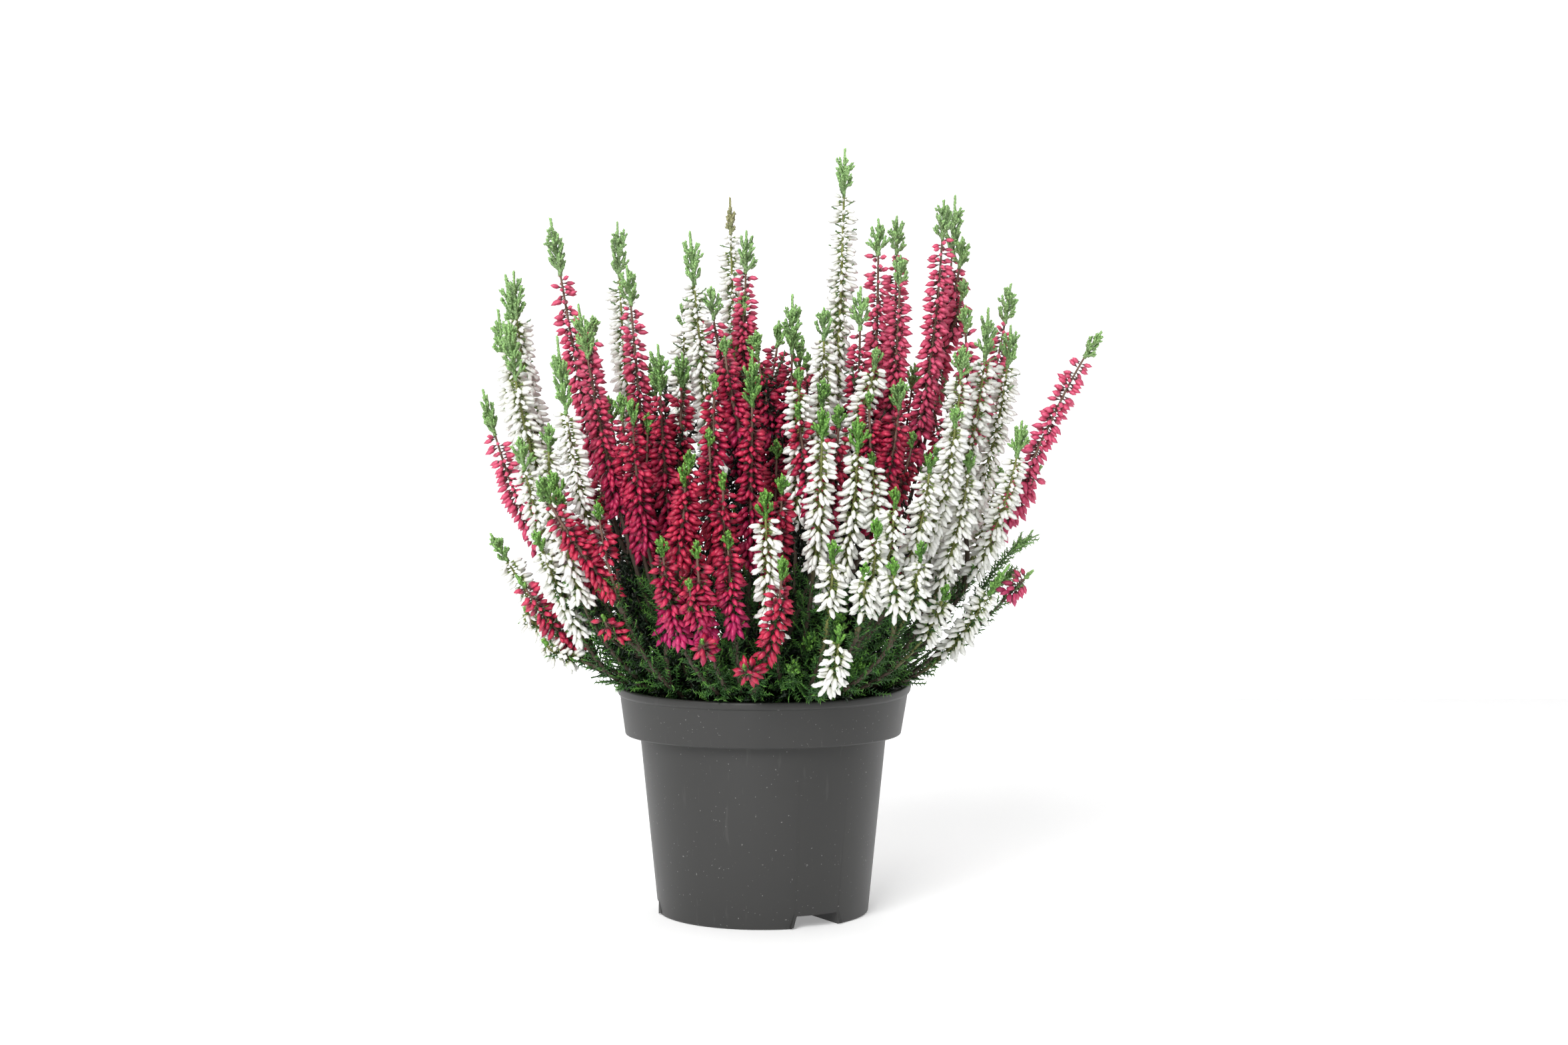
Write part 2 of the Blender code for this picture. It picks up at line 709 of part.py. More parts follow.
def groove_block(angle, grow, low, outer, material):
    """The wedge-sided bar that presses a drainage groove, or its raised back, into the pot's floor."""
    slope = GROOVE_SLANT / GROOVE_HEIGHT
    half = GROOVE_HALF_WIDTH + grow * math.hypot(1.0, slope)
    top = GROOVE_HEIGHT + grow
    start = GROOVE_START - grow
    section = ((-half + slope * low, low), (half - slope * low, low),
               (half - slope * top, top), (-half + slope * top, top))
    shell = Shell()
    near = shell.add([np.array((start, across, height)) for across, height in section])
    far = shell.add([np.array((outer, across, height)) for across, height in section])
    shell.faces.append(tuple(near[::-1]))
    shell.faces.append(tuple(far))
    for k in range(4):
        n = (k + 1) % 4
        shell.faces.append((near[k], near[n], far[n], far[k]))
    block = shell.object("groove", material)
    turn_mesh(block, angle)
    return block


def turn_mesh(block, angle):
    cos = math.cos(math.radians(angle))
    sin = math.sin(math.radians(angle))
    for vertex in block.data.vertices:
        x, y, z = vertex.co
        vertex.co = Vector((x * cos - y * sin, x * sin + y * cos, z))


def upright_prism(x, y, radius, low, high, sides, material):
    shell = Shell()
    ends = []
    for height in (low, high):
        ends.append(shell.add([np.array((x + radius * math.cos(2 * math.pi * k / sides),
                                         y + radius * math.sin(2 * math.pi * k / sides), height))
                               for k in range(sides)]))
    shell.faces.append(tuple(ends[0][::-1]))
    shell.faces.append(tuple(ends[1]))
    for k in range(sides):
        n = (k + 1) % sides
        shell.faces.append((ends[0][k], ends[0][n], ends[1][n], ends[1][k]))
    return shell.object("prism", material)


def wall_radius(height):
    """The outer radius of the pot's tapering body."""
    return BODY_FOOT_RADIUS + (BODY_TOP_RADIUS - BODY_FOOT_RADIUS) * height / BAND_BOTTOM


def make_pot(material):
    """The pot: a tapering body, a ledge under a taller band, a beaded rim and three floor grooves."""
    ledge_top = BAND_BOTTOM + POT_WALL
    inside_rim = RIM_RADIUS - BEAD_PROUD - POT_WALL
    profile = (
        (0.0, 0.0),
        (BODY_FOOT_RADIUS, 0.0),
        (BODY_TOP_RADIUS, BAND_BOTTOM - 0.6),
        (BAND_FOOT_RADIUS, BAND_BOTTOM),
        (RIM_RADIUS - BEAD_PROUD, POT_HEIGHT - BEAD_HEIGHT),
        (RIM_RADIUS, POT_HEIGHT - BEAD_HEIGHT + 0.4),
        (RIM_RADIUS - 0.2, POT_HEIGHT),
        (inside_rim, POT_HEIGHT),
        (BAND_FOOT_RADIUS - POT_WALL, ledge_top + 0.4),
        (BODY_TOP_RADIUS - POT_WALL, ledge_top - 0.8),
        (BODY_FOOT_RADIUS - POT_WALL, POT_WALL),
        (0.0, POT_WALL),
    )
    pot = turned("pot", profile, material)
    backs = [groove_block(angle, POT_WALL, 0.6, BODY_FOOT_RADIUS - 0.6, material)
             for angle in GROOVE_ANGLES]
    boolean(pot, "UNION", backs)
    grooves = [groove_block(angle, 0.0, -2.0, BODY_FOOT_RADIUS + 8.0, material)
               for angle in GROOVE_ANGLES]
    boolean(pot, "DIFFERENCE", grooves)
    drains = []
    for angle in GROOVE_ANGLES:
        x = DRAIN_AT * math.cos(math.radians(angle))
        y = DRAIN_AT * math.sin(math.radians(angle))
        drains.append(upright_prism(x, y, DRAIN_RADIUS, 1.0, 12.0, 12, material))
    boolean(pot, "DIFFERENCE", drains)
    return pot


def make_soil(material):
    """The soil: it fills the pot round the grooves' backs, with a plain hole for each trunk."""
    wall = POT_WALL + CLEARANCE + 0.1
    foot = POT_WALL + CLEARANCE
    ledge = BAND_BOTTOM + POT_WALL
    band_slope = (RIM_RADIUS - BEAD_PROUD - BAND_FOOT_RADIUS) / (POT_HEIGHT - BEAD_HEIGHT - BAND_BOTTOM)
    top_radius = BAND_FOOT_RADIUS + band_slope * (SOIL_TOP - BAND_BOTTOM) - wall - 0.2
    profile = (
        (0.0, foot),
        (wall_radius(foot) - wall, foot),
        (wall_radius(ledge - 3.0) - wall, ledge - 0.2),
        (BAND_FOOT_RADIUS - wall - 0.2, ledge + 1.0),
        (top_radius, SOIL_TOP - 0.6),
        (0.6 * top_radius, SOIL_TOP + 0.2),
        (0.0, SOIL_TOP + 0.2),
    )
    soil = turned("soil", profile, material)
    for vertex in soil.data.vertices:
        out = math.hypot(vertex.co.x, vertex.co.y) / METRE
        if vertex.co.z > (SOIL_TOP - 1.0) * METRE and out < top_radius - 1.0:
            angle = math.atan2(vertex.co.y, vertex.co.x)
            vertex.co.z += SOIL_BUMP * METRE * math.sin(5 * angle + out) * math.cos(3 * angle)
    backs = [groove_block(angle, POT_WALL + CLEARANCE, -2.0, BODY_FOOT_RADIUS + 9.0, material)
             for angle in GROOVE_ANGLES]
    boolean(soil, "DIFFERENCE", backs)
    holes = []
    for _, x, y in PLANTS.values():
        low = SOIL_TOP - TRUNK_DEPTH - CLEARANCE
        holes.append(upright_prism(x, y, TRUNK_RADIUS + 0.35, low, SOIL_TOP + 9.0, TRUNK_SIDES, material))
    boolean(soil, "DIFFERENCE", holes)
    return soil


def make_stems(plant, shoots, material):
    """One plant's woody trunk with all its stems, leafy tips and low sprigs, grown into one body."""
    _, x, y = PLANTS[plant]
    low = SOIL_TOP - TRUNK_DEPTH
    trunk = upright_prism(x, y, TRUNK_RADIUS, low, SOIL_TOP + TRUNK_STANDS, TRUNK_SIDES, material)
    trunk.name = f"{plant}_stems"
    branches = []
    for number, shoot in enumerate(shoots):
        if shoot["plant"] == plant:
            branches.append(stem_and_tip(shoot, number).object("branch", material))
    return boolean(trunk, "UNION", branches, "MANIFOLD")


def make_buds(shoots, links, materials):
    """A node for each spike's buds, or for each group of spikes whose buds touch."""
    joined = {}
    for a, b in links:
        group = joined.get(a, {a}) | joined.get(b, {b})
        for member in group:
            joined[member] = group
    count = {"red": 0, "white": 0}
    for number, shoot in enumerate(shoots):
        members = sorted(joined.get(number, {number}))
        if not shoot["buds"] or members[0] != number:
            continue
        colour = shoot["colour"]
        count[colour] += 1
        name = f"{colour}_buds_{count[colour]:02d}"
        node = bud_sleeve(shoot, number).object(name, materials[colour])
        tools = [bud_sleeve(shoots[mate], mate).object("mate", materials[colour]) for mate in members[1:]]
        for a, b in links:
            if a in members:
                bridge = bridge_bud(bud_points(shoots[a]), bud_points(shoots[b]))
                tools.append(bridge.object("bridge", materials[colour]))
        if tools:
            boolean(node, "UNION", tools, "MANIFOLD")


def bud_points(shoot):
    """Closely spaced points on the middle of a spike's buds."""
    line, first, last = bud_line(shoot)
    stations = np.linspace(line.along[first] + 3.0, line.along[last] - 3.0, 40)
    return np.array([line.mix(line.points, station) for station in stations])


def main():
    shoots = list_shoots()
    links = pick_links(shoots)
    part_shoots(shoots, links)
    make_pot(surface("grey plastic", (0.085, 0.083, 0.078), 0.45))
    make_soil(surface("dark peat", (0.020, 0.013, 0.009), 0.95))
    green = surface("heather green", (0.075, 0.19, 0.045), 0.7)
    for plant in PLANTS:
        make_stems(plant, shoots, green)
    buds = {
        "red": surface("red buds", (0.58, 0.018, 0.055), 0.5),
        "white": surface("white buds", (0.86, 0.85, 0.78), 0.5),
    }
    make_buds(shoots, links, buds)


main()
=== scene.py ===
"""Looks of a potted heather: red and white closed buds, leafy tips, low foliage, peat and pot.

Lengths are millimetres and become metres where a mesh is made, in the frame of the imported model:
the origin is under the pot's axis on the surface it stands on, +Z is up and -Y is the front.
"""
import math

import bmesh
import bpy
import numpy as np
from mathutils import Euler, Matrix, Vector, noise


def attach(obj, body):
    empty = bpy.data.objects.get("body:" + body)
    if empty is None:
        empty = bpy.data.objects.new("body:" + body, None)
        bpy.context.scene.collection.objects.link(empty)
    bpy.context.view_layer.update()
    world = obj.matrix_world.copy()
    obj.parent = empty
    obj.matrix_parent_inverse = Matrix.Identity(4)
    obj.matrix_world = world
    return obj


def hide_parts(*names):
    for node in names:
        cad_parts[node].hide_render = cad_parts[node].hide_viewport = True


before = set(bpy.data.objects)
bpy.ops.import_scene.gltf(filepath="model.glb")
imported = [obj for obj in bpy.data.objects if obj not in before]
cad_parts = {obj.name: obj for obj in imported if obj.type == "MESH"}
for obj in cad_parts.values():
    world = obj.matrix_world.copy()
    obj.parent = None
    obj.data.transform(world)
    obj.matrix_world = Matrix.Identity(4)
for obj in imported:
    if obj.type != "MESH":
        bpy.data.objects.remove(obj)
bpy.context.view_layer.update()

METRE = 0.001

# ---- the shoots' paths, as in the CAD

# The eye that the spikes' places were judged from: its distance from the pot's axis, its x and z
EYE_DISTANCE = 903.0
EYE_X = 8.6
EYE_Z = 169.0

POT_HEIGHT = 85.0
SOIL_TOP = 76.0
TRUNK_RADIUS = 2.8
TRUNK_STANDS = 6.0
STEM_RADIUS = 0.9
BUD_REACH = 6.0
LEAF_REACH = 4.2
SPRIG_REACH = 4.6

# Where each plant's trunk comes out of the soil: colour, x, y
PLANTS = {
    "red_heather_1": ("red", -22.0, -16.0),
    "red_heather_2": ("red", -7.0, -28.0),
    "red_heather_3": ("red", 24.0, 16.0),
    "red_heather_4": ("red", -17.0, 17.0),
    "white_heather_1": ("white", -35.0, 0.0),
    "white_heather_2": ("white", 10.0, -18.0),
    "white_heather_3": ("white", 33.0, -10.0),
    "white_heather_4": ("white", 2.0, 30.0),
}

# Each flowering spike as it is seen from the front: colour, x and z of its tip in the plane of the
# pot's axis, depth y, lengths of its leafy tip and of its buds, outward lean of its end in degrees
SPIKES = (
    ("white", -103, 229, 12, 22, 60, 6),
    ("white", -97, 243, -4, 24, 62, 9),
    ("white", -95, 225, -34, 20, 52, 7),
    ("red", -81, 264, -6, 22, 80, 11),
    ("red", -73, 231, -36, 20, 60, 11),
    ("white", -78, 219, -50, 28, 58, 8),
    ("red", -64, 226, 20, 16, 60, 6),
    ("white", -58, 263, 30, 22, 60, 3),
    ("red", -52, 246, -6, 15, 75, 7),
    ("red", -105, 199, 4, 18, 48, 15),
    ("white", -97, 181, -42, 12, 50, 10),
    ("red", -84, 167, -58, 10, 40, 26),
    ("white", -75, 162, -66, 8, 38, 10),
    ("red", -57, 198, -46, 10, 52, 6),
    ("red", -49, 194, -64, 9, 46, 3),
    ("red", -64, 156, -76, 6, 36, 12),
    ("white", -104, 143, -14, 12, 44, 34),
    ("white", -89, 141, -52, 8, 38, 28),
    ("red", -90, 128, -40, 6, 34, 36),
    ("red", -37, 143, -86, 7, 36, 12),
    ("red", -26, 141, -90, 6, 34, 6),
    ("red", -14, 145, -84, 6, 34, 2),
    ("red", -4, 214, -62, 20, 60, 1),
    ("white", 0, 161, -88, 10, 48, 0),
    ("red", 9, 135, -90, 8, 40, -3),
    ("red", 8, 166, -76, 7, 40, 0),
    ("red", -13, 167, -74, 6, 42, 2),
    ("red", -22, 184, -64, 6, 46, 2),
    ("red", -32, 170, -78, 8, 44, 4),
    ("red", -38, 217, -40, 18, 60, 5),
    ("white", -28, 259, -18, 20, 72, 5),
    ("white", -13, 272, 14, 14, 66, 1),
    ("red", -6, 259, -4, 16, 78, 2),
    ("red", 11, 235, -22, 22, 60, 0),
    ("white", 14, 207, -50, 7, 50, -3),
    ("white", 21, 192, -76, 11, 50, 0),
    ("white", 35, 188, -72, 12, 48, -2),
    ("red", 28, 193, -58, 8, 44, 0),
    ("white", 23, 230, -30, 12, 55, 0),
    ("white", 31, 290, 2, 18, 88, 2),
    ("red", 37, 238, -24, 16, 65, 1),
    ("red", 43, 264, 6, 14, 75, 0),
    ("red", 51, 265, 24, 15, 75, 0),
    ("red", 53, 250, -10, 12, 70, 1),
    ("red", 52, 203, -52, 11, 50, 1),
    ("red", 69, 271, -4, 15, 86, 2),
    ("red", 73, 273, 20, 24, 70, 2),
    ("white", 74, 216, -30, 12, 60, 2),
    ("white", 86, 231, -10, 20, 70, 2),
    ("red", 96, 239, 22, 16, 50, 8),
    ("white", 96, 222, 4, 16, 64, 3),
    ("white", 99, 187, -16, 14, 50, 6),
    ("red", 129, 221, 0, 12, 78, 36),
    ("white", 72, 194, -52, 8, 48, 1),
    ("white", 62, 174, -66, 7, 40, 2),
    ("white", 81, 175, -42, 8, 48, 3),
    ("white", 52, 162, -78, 7, 38, 2),
    ("white", 42, 150, -84, 7, 36, -2),
    ("white", 58, 141, -78, 7, 34, -3),
    ("white", 25, 141, -86, 8, 38, -2),
    ("white", 28, 108, -90, 6, 26, 2),
    ("white", 70, 124, -58, 6, 32, 18),
    ("white", 94, 131, -26, 14, 38, 38),
    ("red", 103, 129, -2, 4, 26, 46),
)

# Leafy shoots without buds that reach out at the right: x and z of the tip as seen, depth, lean
LEAFY = (
    (101, 142, -8, 62),
    (93, 130, 14, 55),
)

# The far side, which the front hides, carries three rows of spikes: how many, how far out, how high
BACK_ROWS = ((6, 84.0, 170.0), (4, 55.0, 208.0), (4, 27.0, 226.0))
BACK_COLOURS = ("white", "red", "red", "white", "red")
BACK_LEAN = 8.0

# Low sprigs without buds: how many, length of their leafy end, lean of their end
SPRIG_COUNT = 25
SPRIG_LEAF = 36.0
SPRIG_LEAN = 40.0

GOLDEN_ANGLE = math.radians(137.508)

# A trunk stands under its tips at about this share of their distance from the pot's axis
TRUNK_SHARE = 0.3

# Points on a shoot's path and on the curve that they are taken from, and how strongly its end pulls
SAMPLES = 24
FINE_SAMPLES = 200
END_PULL = 0.9

# How spikes join into bodies of buds: bodies, spikes in one, how near linked paths may come and are
# drawn, and where along a spike its distance from others is measured
BUD_NODES = 50
MOST_JOINED = 4
JOINED_NEAR = 10.6
JOINED_WANTED = 11.2
MIDDLE_MARGIN = 3.0
MIDDLE_POINTS = 12

# How shoots are moved apart: rounds, rounds between two searches for neighbours, the gap they keep,
# how easily they give way along x, y and z, and how much of each correction one round makes
ROUNDS = 180
RECHECK = 10
SHOOT_GAP = 1.3
GIVE = np.array((0.6, 1.0, 0.25))
PUSH = 0.3
PULL = 0.05
EVENING = 0.4

# Distances from the pot's axis between which a shoot has to pass over the rim, and the gaps that it
# keeps from the rim and the soil
RIM_ZONE = (46.0, 64.0)
RIM_GAP = 1.0
SOIL_GAP = 1.6


def real_place(x, z, y):
    """The place at depth y that is seen at x, z in the plane of the pot's axis."""
    spread = (EYE_DISTANCE + y) / EYE_DISTANCE
    return np.array((EYE_X + (x - EYE_X) * spread, y, EYE_Z + (z - EYE_Z) * spread))


def nearest_plant(colour, tip):
    """The plant of that colour, or any plant for leaves, whose trunk stands best under a tip."""
    def miss(name):
        kind, x, y = PLANTS[name]
        far = math.hypot(tip[0] * TRUNK_SHARE - x, tip[1] * TRUNK_SHARE - y)
        return far if colour in (kind, "leaf") else far + 1000.0
    return min(PLANTS, key=miss)


def hermite(t, start, end, start_pull, end_pull):
    """Places t, 0 to 1, on a curve that leaves start and reaches end along the two pulls."""
    return ((2 * t ** 3 - 3 * t ** 2 + 1) * start + (t ** 3 - 2 * t ** 2 + t) * start_pull
            + (3 * t ** 2 - 2 * t ** 3) * end + (t ** 3 - t ** 2) * end_pull)


def path_length(points):
    return float(np.linalg.norm(np.diff(points, axis=0), axis=1).sum())


def resample(points, stations):
    """Points at the given lengths along a path."""
    steps = np.linalg.norm(np.diff(points, axis=0), axis=1)
    along = np.concatenate(((0.0,), np.cumsum(steps)))
    return np.stack([np.interp(stations, along, points[:, axis]) for axis in range(3)], axis=1)


def stretch(path, low, high, count):
    """Evenly spaced points between two lengths along a path."""
    return resample(path, np.linspace(low, high, count))


def curved_path(start, end, start_pull, end_pull, count):
    """Evenly spaced points on the curve between two places."""
    t = np.linspace(0.0, 1.0, FINE_SAMPLES)[:, None]
    curve = hermite(t, start, end, start_pull, end_pull)
    return stretch(curve, 0.0, path_length(curve), count)


def shoot_path(plant, tip, lean):
    """A shoot's curve: it fans out of its trunk, then turns up to its lean at the tip."""
    _, root_x, root_y = PLANTS[plant]
    flat = np.array((tip[0] - root_x, tip[1] - root_y, 0.0))
    outward = flat / max(np.linalg.norm(flat), 1e-6)
    up = np.array((0.0, 0.0, 1.0))

    def towards(angle):
        return outward * math.sin(angle) + up * math.cos(angle)

    # The flatter a shoot lies, the lower, further aside and more strongly it leaves its trunk
    slope = math.degrees(math.atan2(np.linalg.norm(flat), tip[2] - SOIL_TOP))
    start = np.array((root_x, root_y, SOIL_TOP + TRUNK_STANDS * (0.85 - 0.6 * slope / 90.0)))
    start += 0.6 * TRUNK_RADIUS * outward
    reach = float(np.linalg.norm(tip - start))
    pull = reach * (1.0 + 0.5 * min(slope, 60.0) / 60.0)
    start_pull = pull * towards(math.radians(min(82.0, 5.0 + 1.65 * slope)))
    end_pull = END_PULL * reach * towards(math.radians(lean))
    return curved_path(start, tip, start_pull, end_pull, SAMPLES)


def new_shoot(colour, tip, leaf, buds, lean):
    """A shoot's colour, plant, path, and the lengths of its leafy tip and of its buds."""
    plant = nearest_plant(colour, tip)
    return dict(colour=colour, plant=plant, leaf=leaf, buds=buds, path=shoot_path(plant, tip, lean))


def list_shoots():
    """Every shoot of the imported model, in the same order."""
    shoots = [new_shoot(colour, real_place(x, z, y), leaf, buds, lean)
              for colour, x, z, y, leaf, buds, lean in SPIKES]
    shoots += [new_shoot("leaf", real_place(x, z, y), SPRIG_LEAF, 0.0, lean)
               for x, z, y, lean in LEAFY]
    number = 0
    for count, radius, height in BACK_ROWS:
        for i in range(count):
            turn = math.radians(14.0 + 152.0 * i / (count - 1))
            tip = np.array((1.12 * radius * math.cos(turn), radius * math.sin(turn),
                            height + 12.0 * math.sin(2.6 * number)))
            colour = BACK_COLOURS[number % len(BACK_COLOURS)]
            leaf = 10.0 + 3.0 * (number % 3)
            buds = 46.0 + 5.0 * (number % 4)
            shoots.append(new_shoot(colour, tip, leaf, buds, BACK_LEAN))
            number += 1
    for i in range(SPRIG_COUNT):
        turn = GOLDEN_ANGLE * i + 0.2
        radius = 34.0 + 13.0 * (i % 4)
        tip = np.array((radius * math.cos(turn), radius * math.sin(turn), 96.0 + 7.0 * (i % 5)))
        shoots.append(new_shoot("leaf", tip, SPRIG_LEAF, 0.0, SPRIG_LEAN))
    return shoots


def budded_points(shoot):
    """Points along the middle of a spike's buds."""
    top = path_length(shoot["path"]) - shoot["leaf"]
    return stretch(shoot["path"], top - shoot["buds"] + MIDDLE_MARGIN, top - MIDDLE_MARGIN,
                   MIDDLE_POINTS)


def pick_links(shoots):
    """Neighbouring spikes of one colour, nearest first, whose buds touch and grow into one body."""
    spikes = [i for i, shoot in enumerate(shoots) if shoot["buds"]]
    middles = {i: budded_points(shoots[i]) for i in spikes}
    options = []
    for a in spikes:
        for b in spikes:
            if a < b and shoots[a]["colour"] == shoots[b]["colour"]:
                gap = np.linalg.norm(middles[a][:, None] - middles[b][None], axis=2).min()
                options.append((float(gap), a, b))
    group = {i: {i} for i in spikes}
    left = len(spikes)
    links = []
    for _, a, b in sorted(options):
        if left <= BUD_NODES:
            break
        if group[a] is group[b] or len(group[a]) + len(group[b]) > MOST_JOINED:
            continue
        joined = group[a] | group[b]
        for member in joined:
            group[member] = joined
        links.append((a, b))
        left -= 1
    return links


def zones(shoots):
    """For each stretch between two samples of each shoot, its radius and whether it has buds."""
    count = SAMPLES - 1
    radius = np.full((len(shoots), count), STEM_RADIUS)
    in_buds = np.zeros((len(shoots), count), bool)
    for i, shoot in enumerate(shoots):
        length = path_length(shoot["path"])
        low = length * np.arange(count) / count
        high = low + length / count
        top = length - shoot["leaf"]
        leafy = high > top - 0.5
        radius[i, leafy] = LEAF_REACH if shoot["buds"] else SPRIG_REACH
        if shoot["buds"]:
            budded = (high > top - shoot["buds"] - 1.5) & (low < top + 2.0)
            radius[i, budded] = BUD_REACH
            in_buds[i] = budded
    return radius, in_buds


def part_shoots(shoots, links):
    """Bend the shoots clear of each other, most of all in depth; draw linked spikes together."""
    radius, in_buds = zones(shoots)
    plants = sorted(PLANTS)
    plant = np.array([plants.index(shoot["plant"]) for shoot in shoots])
    linked = np.zeros((len(shoots), len(shoots)), bool)
    for a, b in links:
        linked[a, b] = linked[b, a] = True
    rest = np.stack([shoot["path"] for shoot in shoots])
    moved = np.zeros_like(rest)
    for turn in range(ROUNDS):
        if turn % RECHECK == 0:
            contacts = near_stretches(rest + moved, radius, in_buds, plant, linked)
        push_apart(rest + moved, moved, contacts)
        for a, b in links:
            draw_together(rest, moved, in_buds, a, b)
        keep_above_pot(rest, moved, radius)
        moved[:, 0] = 0.0
        for _ in range(2):
            middle = (moved[:, :-2] + moved[:, 2:]) / 2
            moved[:, 1:-1] += EVENING * (middle - moved[:, 1:-1])
            moved[:, -1] += EVENING * (moved[:, -2] - moved[:, -1])
    for shoot, path in zip(shoots, rest + moved):
        shoot["path"] = path


def near_stretches(place, radius, in_buds, plant, linked):
    """Pairs of stretches that are or may come too close, and how far apart each pair has to be."""
    shoots, count = radius.shape
    middle = ((place[:, :-1] + place[:, 1:]) / 2).reshape(-1, 3)
    half = (np.linalg.norm(place[:, 1:] - place[:, :-1], axis=2) / 2).ravel()
    owner = np.repeat(np.arange(shoots), count)
    wide = radius.ravel()
    budded = in_buds.ravel()
    found_a = []
    found_b = []
    for shoot in range(shoots - 1):
        rows = np.arange(shoot * count, (shoot + 1) * count)
        others = np.arange((shoot + 1) * count, shoots * count)
        gap = np.linalg.norm(middle[rows, None] - middle[None, others], axis=2)
        reach = (wide + half)[rows, None] + (wide + half)[None, others] + 3.0
        a, b = np.nonzero(gap < reach)
        found_a.append(rows[a])
        found_b.append(others[b])
    a = np.concatenate(found_a)
    b = np.concatenate(found_b)
    need = wide[a] + wide[b] + SHOOT_GAP
    need[(plant[owner[a]] == plant[owner[b]]) & ~budded[a] & ~budded[b]] = 0.0
    need[linked[owner[a], owner[b]] & budded[a] & budded[b]] = JOINED_NEAR
    keep = need > 0.0
    a = a[keep]
    b = b[keep]
    return owner[a], a % count, owner[b], b % count, need[keep]


def push_apart(place, moved, contacts):
    """Move both stretches of each pair that is too close away from each other."""
    one, i, two, j, need = contacts
    start_a = place[one, i]
    start_b = place[two, j]
    along_a = place[one, i + 1] - start_a
    along_b = place[two, j + 1] - start_b
    between = start_a - start_b
    aa = (along_a ** 2).sum(axis=1)
    bb = (along_b ** 2).sum(axis=1)
    ab = (along_a * along_b).sum(axis=1)
    ra = (along_a * between).sum(axis=1)
    rb = (along_b * between).sum(axis=1)
    spread = np.maximum(aa * bb - ab ** 2, 1e-9)
    s = np.clip((ab * rb - ra * bb) / spread, 0.0, 1.0)
    t = np.clip((ab * s + rb) / bb, 0.0, 1.0)
    s = np.clip((ab * t - ra) / aa, 0.0, 1.0)
    away = (start_a + s[:, None] * along_a) - (start_b + t[:, None] * along_b)
    far = np.maximum(np.linalg.norm(away, axis=1), 1e-6)
    short = np.maximum(need - far, 0.0)
    push = away / far[:, None] * (PUSH * short)[:, None] * GIVE
    np.add.at(moved, (one, i), push * (1.0 - s)[:, None])
    np.add.at(moved, (one, i + 1), push * s[:, None])
    np.add.at(moved, (two, j), -push * (1.0 - t)[:, None])
    np.add.at(moved, (two, j + 1), -push * t[:, None])


def draw_together(rest, moved, in_buds, a, b):
    """Shift two spikes' budded stretches towards each other until they nearly touch."""
    rows_a = np.append(in_buds[a], False)
    rows_b = np.append(in_buds[b], False)
    one = (rest[a] + moved[a])[rows_a]
    two = (rest[b] + moved[b])[rows_b]
    gap = np.linalg.norm(one[:, None] - two[None], axis=2)
    i, j = np.unravel_index(np.argmin(gap), gap.shape)
    excess = gap[i, j] - JOINED_WANTED
    if excess > 0.0:
        shift = (two[j] - one[i]) / gap[i, j] * excess * PULL
        moved[a][rows_a] += shift
        moved[b][rows_b] -= shift


def keep_above_pot(rest, moved, radius):
    """Lift what would touch the soil or the pot's rim."""
    place = rest + moved
    wide = np.concatenate((radius[:, :1], radius), axis=1)
    out = np.hypot(place[:, :, 0], place[:, :, 1])
    over_rim = (out > RIM_ZONE[0]) & (out < RIM_ZONE[1])
    floor = np.where(over_rim, POT_HEIGHT + RIM_GAP, SOIL_TOP + SOIL_GAP) + wide
    low = np.maximum(floor - place[:, :, 2], 0.0)
    low[:, :2] = 0.0
    low[out >= RIM_ZONE[1]] = 0.0
    moved[:, :, 2] += low


def node_members(shoots, links):
    """Each node of buds with the spikes that it holds."""
    joined = {}
    for a, b in links:
        group = joined.get(a, {a}) | joined.get(b, {b})
        for member in group:
            joined[member] = group
    count = {"red": 0, "white": 0}
    members = {}
    for number, shoot in enumerate(shoots):
        group = sorted(joined.get(number, {number}))
        if shoot["buds"] and group[0] == number:
            colour = shoot["colour"]
            count[colour] += 1
            members[f"{colour}_buds_{count[colour]:02d}"] = group
    return members


# ---- node trees

def operator(operation, swapped=False):
    """A Python operator of Wire, which adds a Math node."""
    def add_node(self, other):
        return self.maths(operation, *((other, self) if swapped else (self, other)))
    return add_node


class Wire:
    """A value in a node tree; Python's operators add the Math nodes that work it out."""

    def __init__(self, tree, socket):
        self.tree = tree
        self.socket = socket

    def maths(self, operation, *values):
        return self.tree.node("ShaderNodeMath", {"operation": operation},
                              dict(enumerate(values)))[0]

    def floor(self):
        return self.maths("FLOOR", self)

    __add__ = operator("ADD")
    __radd__ = operator("ADD", swapped=True)
    __sub__ = operator("SUBTRACT")
    __rsub__ = operator("SUBTRACT", swapped=True)
    __mul__ = operator("MULTIPLY")
    __rmul__ = operator("MULTIPLY", swapped=True)
    __truediv__ = operator("DIVIDE")


class Outputs:
    """The outputs of one node, by name or number."""

    def __init__(self, tree, made):
        self.tree = tree
        self.made = made

    def __getitem__(self, key):
        return Wire(self.tree, self.made.outputs[key])


class Tree:
    """A node tree that is written as calls."""

    def __init__(self, tree):
        self.tree = tree

    def node(self, kind, settings, inputs):
        """A node of that kind: its settings first, then the values or links of its sockets."""
        made = self.tree.nodes.new(kind)
        for key, value in settings.items():
            if key == "stops":
                self.set_stops(made.color_ramp, value)
            else:
                setattr(made, key, value)
        for key, value in inputs.items():
            if isinstance(value, Wire):
                self.tree.links.new(value.socket, made.inputs[key])
            else:
                made.inputs[key].default_value = value
        return Outputs(self, made)

    @staticmethod
    def set_stops(ramp, stops):
        while len(ramp.elements) < len(stops):
            ramp.elements.new(1.0)
        for element, (position, shade) in zip(ramp.elements, stops):
            element.position = position
            element.color = (shade, shade, shade, 1.0)


